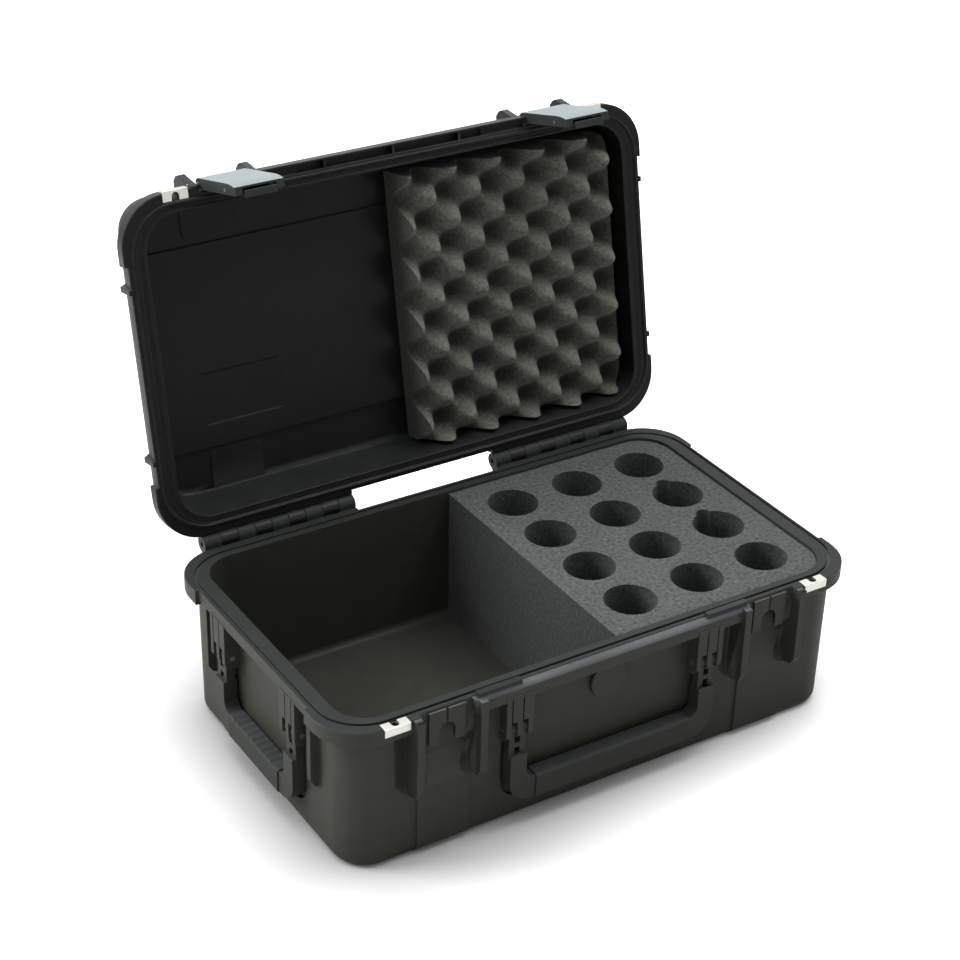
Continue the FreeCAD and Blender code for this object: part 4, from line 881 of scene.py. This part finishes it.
@dataclass
class FoamBlock:
    """The foam block with its twelve upright holes."""

    left: float = 0.014
    rim: float = 0.152
    top_drop: float = 0.003
    bottom: float = 0.0243
    half_width: float = 0.2565
    half_depth: float = 0.1445
    corner: float = 0.033
    corner_steps: int = 12
    lean: float = 0.003
    gap: float = 0.0003
    hole_radius: float = 0.025
    hole_faces: int = 64
    first_x: float = 0.0595
    pitch_x: float = 0.075
    pitch_y: float = 0.066
    columns: int = 3
    rows: int = 4
    keyhole_radius: float = 0.008
    keyhole_offset: float = 0.023
    softening: float = 0.0011
    softening_steps: int = 3
    softening_angle: float = math.radians(50)

    def slab(self) -> bpy.types.Object:
        """The block without holes: a box narrowed downward, with the case's two round corners.

        Returns:
            The slab.
        """
        low = Vector((self.left, self.gap - self.half_depth, self.bottom))
        high = Vector((self.half_width - self.gap, self.half_depth - self.gap, self.rim - self.top_drop))
        piece = start_box("mic_foam_block_soft", low, high)
        mesh = bmesh.from_edit_mesh(piece.data)
        fall = self.lean * (1 - self.bottom / self.rim)
        for vert in mesh.verts:
            if vert.co.z < self.rim / 2:
                vert.co.y -= math.copysign(fall, vert.co.y)
                if vert.co.x > self.half_width / 2:
                    vert.co.x -= fall
        round_right_corners(piece, low, high, self.corner, self.corner_steps)
        bpy.ops.object.mode_set(mode="OBJECT")
        return piece

    def drill(self, piece: bpy.types.Object, radius: float, x: float, y: float) -> None:
        """Cut one upright hole through the slab.

        Args:
            piece: the slab.
            radius: the hole's radius.
            x: the hole's middle.
            y: the hole's middle.
        """
        clear_selection()
        bpy.ops.mesh.primitive_cylinder_add(vertices=self.hole_faces, radius=radius, depth=self.rim * 2,
                                            location=(x, y, self.rim / 2))
        cutter = bpy.context.object
        cut = piece.modifiers.new("hole", "BOOLEAN")
        cut.operation = "DIFFERENCE"
        cut.object = cutter
        cut.solver = "EXACT"
        apply_modifiers(piece)
        bpy.data.objects.remove(cutter)

    def build(self) -> None:
        """Model the block, drill it, soften its edges and dress it.

        The two middle holes of the last column have a small keyhole at the back.
        """
        piece = self.slab()
        for column in range(self.columns):
            for row in range(self.rows):
                x = self.first_x + column * self.pitch_x
                y = (row - (self.rows - 1) / 2) * self.pitch_y
                self.drill(piece, self.hole_radius, x, y)
                if column == self.columns - 1 and 0 < row < self.rows - 1:
                    self.drill(piece, self.keyhole_radius, x, y + self.keyhole_offset)
        round_edges(piece, self.softening, self.softening_steps, self.softening_angle)
        bpy.ops.object.shade_smooth_by_angle(angle=SMOOTH_ANGLE)
        give_finish(piece, BLOCK_FOAM)
        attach(piece, "base")
        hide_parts("mic_foam_block")
        log.info("%s: %d faces", piece.name, len(piece.data.polygons))


@dataclass
class FoamPad:
    """The plain foam layer under the block, which closes the holes."""

    corner: float = 0.030
    corner_steps: int = 10
    foot: float = 0.006
    foot_steps: int = 5
    foot_height: float = 0.0001
    foot_inset: float = 0.001

    def build(self) -> None:
        """Model the layer between its corners, round its right end and its foot, and dress it."""
        low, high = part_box("foam_base_pad")
        piece = start_box("foam_base_pad_soft", low, high)
        round_right_corners(piece, low, high, self.corner, self.corner_steps)
        mesh = bmesh.from_edit_mesh(piece.data)
        for edge in mesh.edges:
            first, second = edge.verts
            at_foot = max(first.co.z, second.co.z) < low.z + self.foot_height
            edge.select_set(at_foot and max(first.co.x, second.co.x) > low.x + self.foot_inset)
        bmesh.update_edit_mesh(piece.data)
        bpy.ops.mesh.bevel(offset=self.foot, segments=self.foot_steps, affect="EDGES")
        make_active(piece)
        bpy.ops.object.shade_smooth_by_angle(angle=SMOOTH_ANGLE)
        give_finish(piece, BLOCK_FOAM)
        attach(piece, "base")
        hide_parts("foam_base_pad")
        log.info("%s: %d faces", piece.name, len(piece.data.polygons))


@dataclass
class LidFoam:
    """The convoluted foam in the lid: rows of rounded peaks with hollows between them."""

    left: float = 0.0143
    right: float = 0.2517
    centre_y: float = 0.004
    depth: float = 0.2694
    corner: float = 0.0285
    wall_x: float = 0.2517
    wall_y: float = 0.1397
    back: float = LID_PANEL_Z
    thickness: float = 0.0499
    web: float = 0.014
    pitch: float = 0.050
    steps: int = 14
    peak_power: float = 1.15
    smooth_angle: float = math.radians(45)

    def height(self, x: float, y: float) -> float:
        """How far the foam stands out of the lid's panel.

        Args:
            x: distance from the foam's left edge.
            y: distance from its front edge.

        Returns:
            The thickness there.
        """
        turn = 2 * math.pi / self.pitch
        swell = (1 + math.cos(turn * x) * math.cos(turn * y)) / 2
        return self.web + (self.thickness - self.web) * swell ** self.peak_power

    def inside_corner(self, x: float, y: float) -> Vector:
        """A point of the foam, drawn in where the lid's inner corner is round.

        Args:
            x: the point's place along the lid.
            y: the point's place across the closed lid.

        Returns:
            The point inside the lid's wall.
        """
        centre_x = self.wall_x - self.corner
        centre_y = math.copysign(self.wall_y - self.corner, y)
        off = Vector((x - centre_x, y - centre_y))
        if off.x > 0 and off.y * y > 0 and off.length > self.corner:
            off *= self.corner / off.length
        return Vector((centre_x + off.x, centre_y + off.y))

    def sheet(self) -> bpy.types.Object:
        """A flat grid of the foam's size, pulled down by the foam's thickness.

        Returns:
            The sheet, with its back at height zero and its face below.
        """
        width = self.right - self.left
        clear_selection()
        bpy.ops.mesh.primitive_grid_add(x_subdivisions=round(width / self.pitch * self.steps),
                                        y_subdivisions=round(self.depth / self.pitch * self.steps),
                                        size=1, location=(0, 0, 0))
        piece = bpy.context.object
        piece.name = "lid_convoluted_foam_soft"
        bpy.ops.object.mode_set(mode="EDIT")
        bpy.ops.transform.resize(value=(width, self.depth, 1))
        bpy.ops.mesh.select_all(action="SELECT")
        bpy.ops.mesh.extrude_region_move(TRANSFORM_OT_translate={"value": (0, 0, -self.thickness)})
        bpy.ops.object.mode_set(mode="OBJECT")
        return piece

    def raise_peaks(self, piece: bpy.types.Object) -> None:
        """Move the sheet into the closed lid and give its face the peaks.

        Args:
            piece: the sheet.
        """
        for vert in piece.data.vertices:
            x = vert.co.x + (self.right - self.left) / 2
            y = vert.co.y + self.depth / 2
            tall = self.height(x, y) if vert.co.z < -self.thickness / 2 else 0.0
            place = self.inside_corner(self.left + x, self.centre_y - self.depth / 2 + y)
            vert.co = Vector((place.x, place.y, self.back - tall))
        make_active(piece)
        bpy.ops.object.mode_set(mode="EDIT")
        bpy.ops.mesh.select_all(action="SELECT")
        bpy.ops.mesh.normals_make_consistent(inside=False)
        bpy.ops.object.mode_set(mode="OBJECT")

    def build(self) -> None:
        """Model the foam, open it with the lid and dress it."""
        piece = self.sheet()
        self.raise_peaks(piece)
        piece.data.transform(LID_OPEN)
        bpy.ops.object.shade_smooth_by_angle(angle=self.smooth_angle)
        give_finish(piece, LID_FOAM)
        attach(piece, "lid")
        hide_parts("lid_convoluted_foam")
        log.info("%s: %d faces", piece.name, len(piece.data.polygons))


@dataclass(frozen=True)
class Lamp:
    """One soft square lamp: its place, what it points at, its side and its power in watts."""

    name: str
    place: Point
    aim: Point
    size: float
    power: float

    def build(self) -> None:
        """Hang the lamp and point it."""
        data = bpy.data.lights.new(self.name, "AREA")
        data.size = self.size
        data.energy = self.power
        lamp = bpy.data.objects.new(self.name, data)
        bpy.context.scene.collection.objects.link(lamp)
        lamp.location = self.place
        lamp.rotation_euler = (Vector(self.aim) - Vector(self.place)).to_track_quat("-Z", "Y").to_euler()


@dataclass
class Studio:
    """The pale floor, the soft lamps, the world and the camera.

    The floor has a painted contact shadow where the case touches it, keeps the case's shadow, and
    glows to white with the distance from a point beside the case.
    """

    eye: Point = (-0.9749, -1.4499, 1.2507)
    look: Point = (0.46799, 0.72818, -0.50074)
    across: Point = (0.84857, -0.52852, 0.02450)
    lens: float = 83.40
    sensor: float = 36.0
    floor_size: float = 12.0
    floor_tone: float = 0.86
    floor_roughness: float = 0.9
    floor_mirrored: float = 0.3
    painted_contact_shadow_tone: float = 0.30
    contact_reach: float = 0.11
    contact_power: float = 1.5
    glow_centre: Point = (-0.30, 0.10, 0.0)
    glow_start: float = 0.30
    glow_end: float = 0.62
    glow_near: float = 0.40
    sky_light: float = 0.25
    lamps: tuple[Lamp, ...] = (Lamp("key", (-2.2, 1.2, 1.7), (0, 0, 0.15), 1.2, 62),
                               Lamp("top", (0.1, 0.4, 2.5), (0, 0, 0.1), 2.2, 44),
                               Lamp("glint", (0.95, -0.4, 2.05), (-0.1, 0.1, 0.2), 0.5, 8))

    def sight(self, graph: Graph, mirrored: float = 1.0) -> bpy.types.NodeSocket:
        """A mask of 1 for rays from the camera, and of its own number for those from gloss or glass.

        Args:
            graph: the graph of the floor or the world.
            mirrored: the mask for rays from a glossy face or glass.

        Returns:
            The mask's socket.
        """
        ray = graph.add("LightPath").outputs
        bounced = graph.math("MAXIMUM", ray["Is Glossy Ray"], ray["Is Transmission Ray"])
        return graph.math("MAXIMUM", ray["Is Camera Ray"], graph.math("MULTIPLY", bounced, mirrored))

    def floor_material(self) -> bpy.types.Material:
        """The floor's material: a pale tone with a painted contact shadow, and a glow on top of it.

        Returns:
            The material.
        """
        material, graph, shader = new_material("studio_floor")
        # The floor's colour and glow are darkened near the case: a painted contact shadow.
        contact = graph.add("AmbientOcclusion", {"Distance": self.contact_reach}, samples=12)
        clear = graph.math("POWER", contact.outputs["AO"], self.contact_power)
        tone = graph.mix(clear, opaque(grey(self.painted_contact_shadow_tone)), opaque(grey(self.floor_tone)))
        graph.feed(shader, {"Base Color": tone, "Roughness": self.floor_roughness,
                            "Specular IOR Level": 0.0})
        place = graph.add("TexCoord")
        away = graph.add("VectorMath", {0: place.outputs["Object"], 1: self.glow_centre},
                         operation="DISTANCE")
        far = graph.ramp(away.outputs["Value"], self.glow_start, self.glow_end, self.glow_near, 1.0,
                         "SMOOTHSTEP")
        seen = graph.math("MULTIPLY", self.sight(graph, self.floor_mirrored), far)
        glow = graph.add("Emission", {"Color": opaque(WHITE),
                                      "Strength": graph.math("MULTIPLY", seen, clear)})
        total = graph.add("AddShader", {0: shader.outputs[0], 1: glow.outputs[0]})
        graph.feed(material.node_tree.nodes["Material Output"], {"Surface": total.outputs[0]})
        return material

    def floor(self) -> None:
        """A wide pale floor."""
        clear_selection()
        bpy.ops.mesh.primitive_plane_add(size=self.floor_size, location=(0, 0, 0))
        ground = bpy.context.object
        ground.name = "studio_floor"
        ground.data.materials.append(self.floor_material())

    def world(self) -> None:
        """An even pale world that is white to the camera, and in gloss and glass."""
        world = bpy.data.worlds.new("studio_world")
        bpy.context.scene.world = world
        world.use_nodes = True
        graph = Graph(world.node_tree)
        strength = graph.math("MULTIPLY_ADD", self.sight(graph), 1.0 - self.sky_light, self.sky_light)
        graph.feed(world.node_tree.nodes["Background"], {"Color": opaque(WHITE), "Strength": strength})

    def camera(self) -> None:
        """The camera at the photo's place."""
        data = bpy.data.cameras.new("photo_camera")
        data.lens = self.lens
        data.sensor_width = self.sensor
        eye = bpy.data.objects.new("photo_camera", data)
        bpy.context.scene.collection.objects.link(eye)
        back = -Vector(self.look).normalized()
        right = Vector(self.across).normalized()
        up = back.cross(right)
        turn = Matrix((right, up, back)).transposed().to_4x4()
        eye.matrix_world = Matrix.Translation(self.eye) @ turn
        bpy.context.scene.camera = eye

    def build(self) -> None:
        """Make the studio."""
        self.camera()
        self.floor()
        self.world()
        for lamp in self.lamps:
            lamp.build()
        bpy.context.scene.view_settings.view_transform = "Standard"
        log.info("studio: camera, floor and lamps")


def main() -> None:
    """Build every sub-assembly in order."""
    logging.basicConfig(level=logging.INFO, format="%(name)s %(message)s")
    Studio().build()
    BaseShell().build()
    LidShell().build()
    for side in Side:
        Latch(side).build()
    for place in Place:
        Handle(place).build()
    FoamBlock().build()
    FoamPad().build()
    LidFoam().build()


if __name__ == "__main__":
    main()
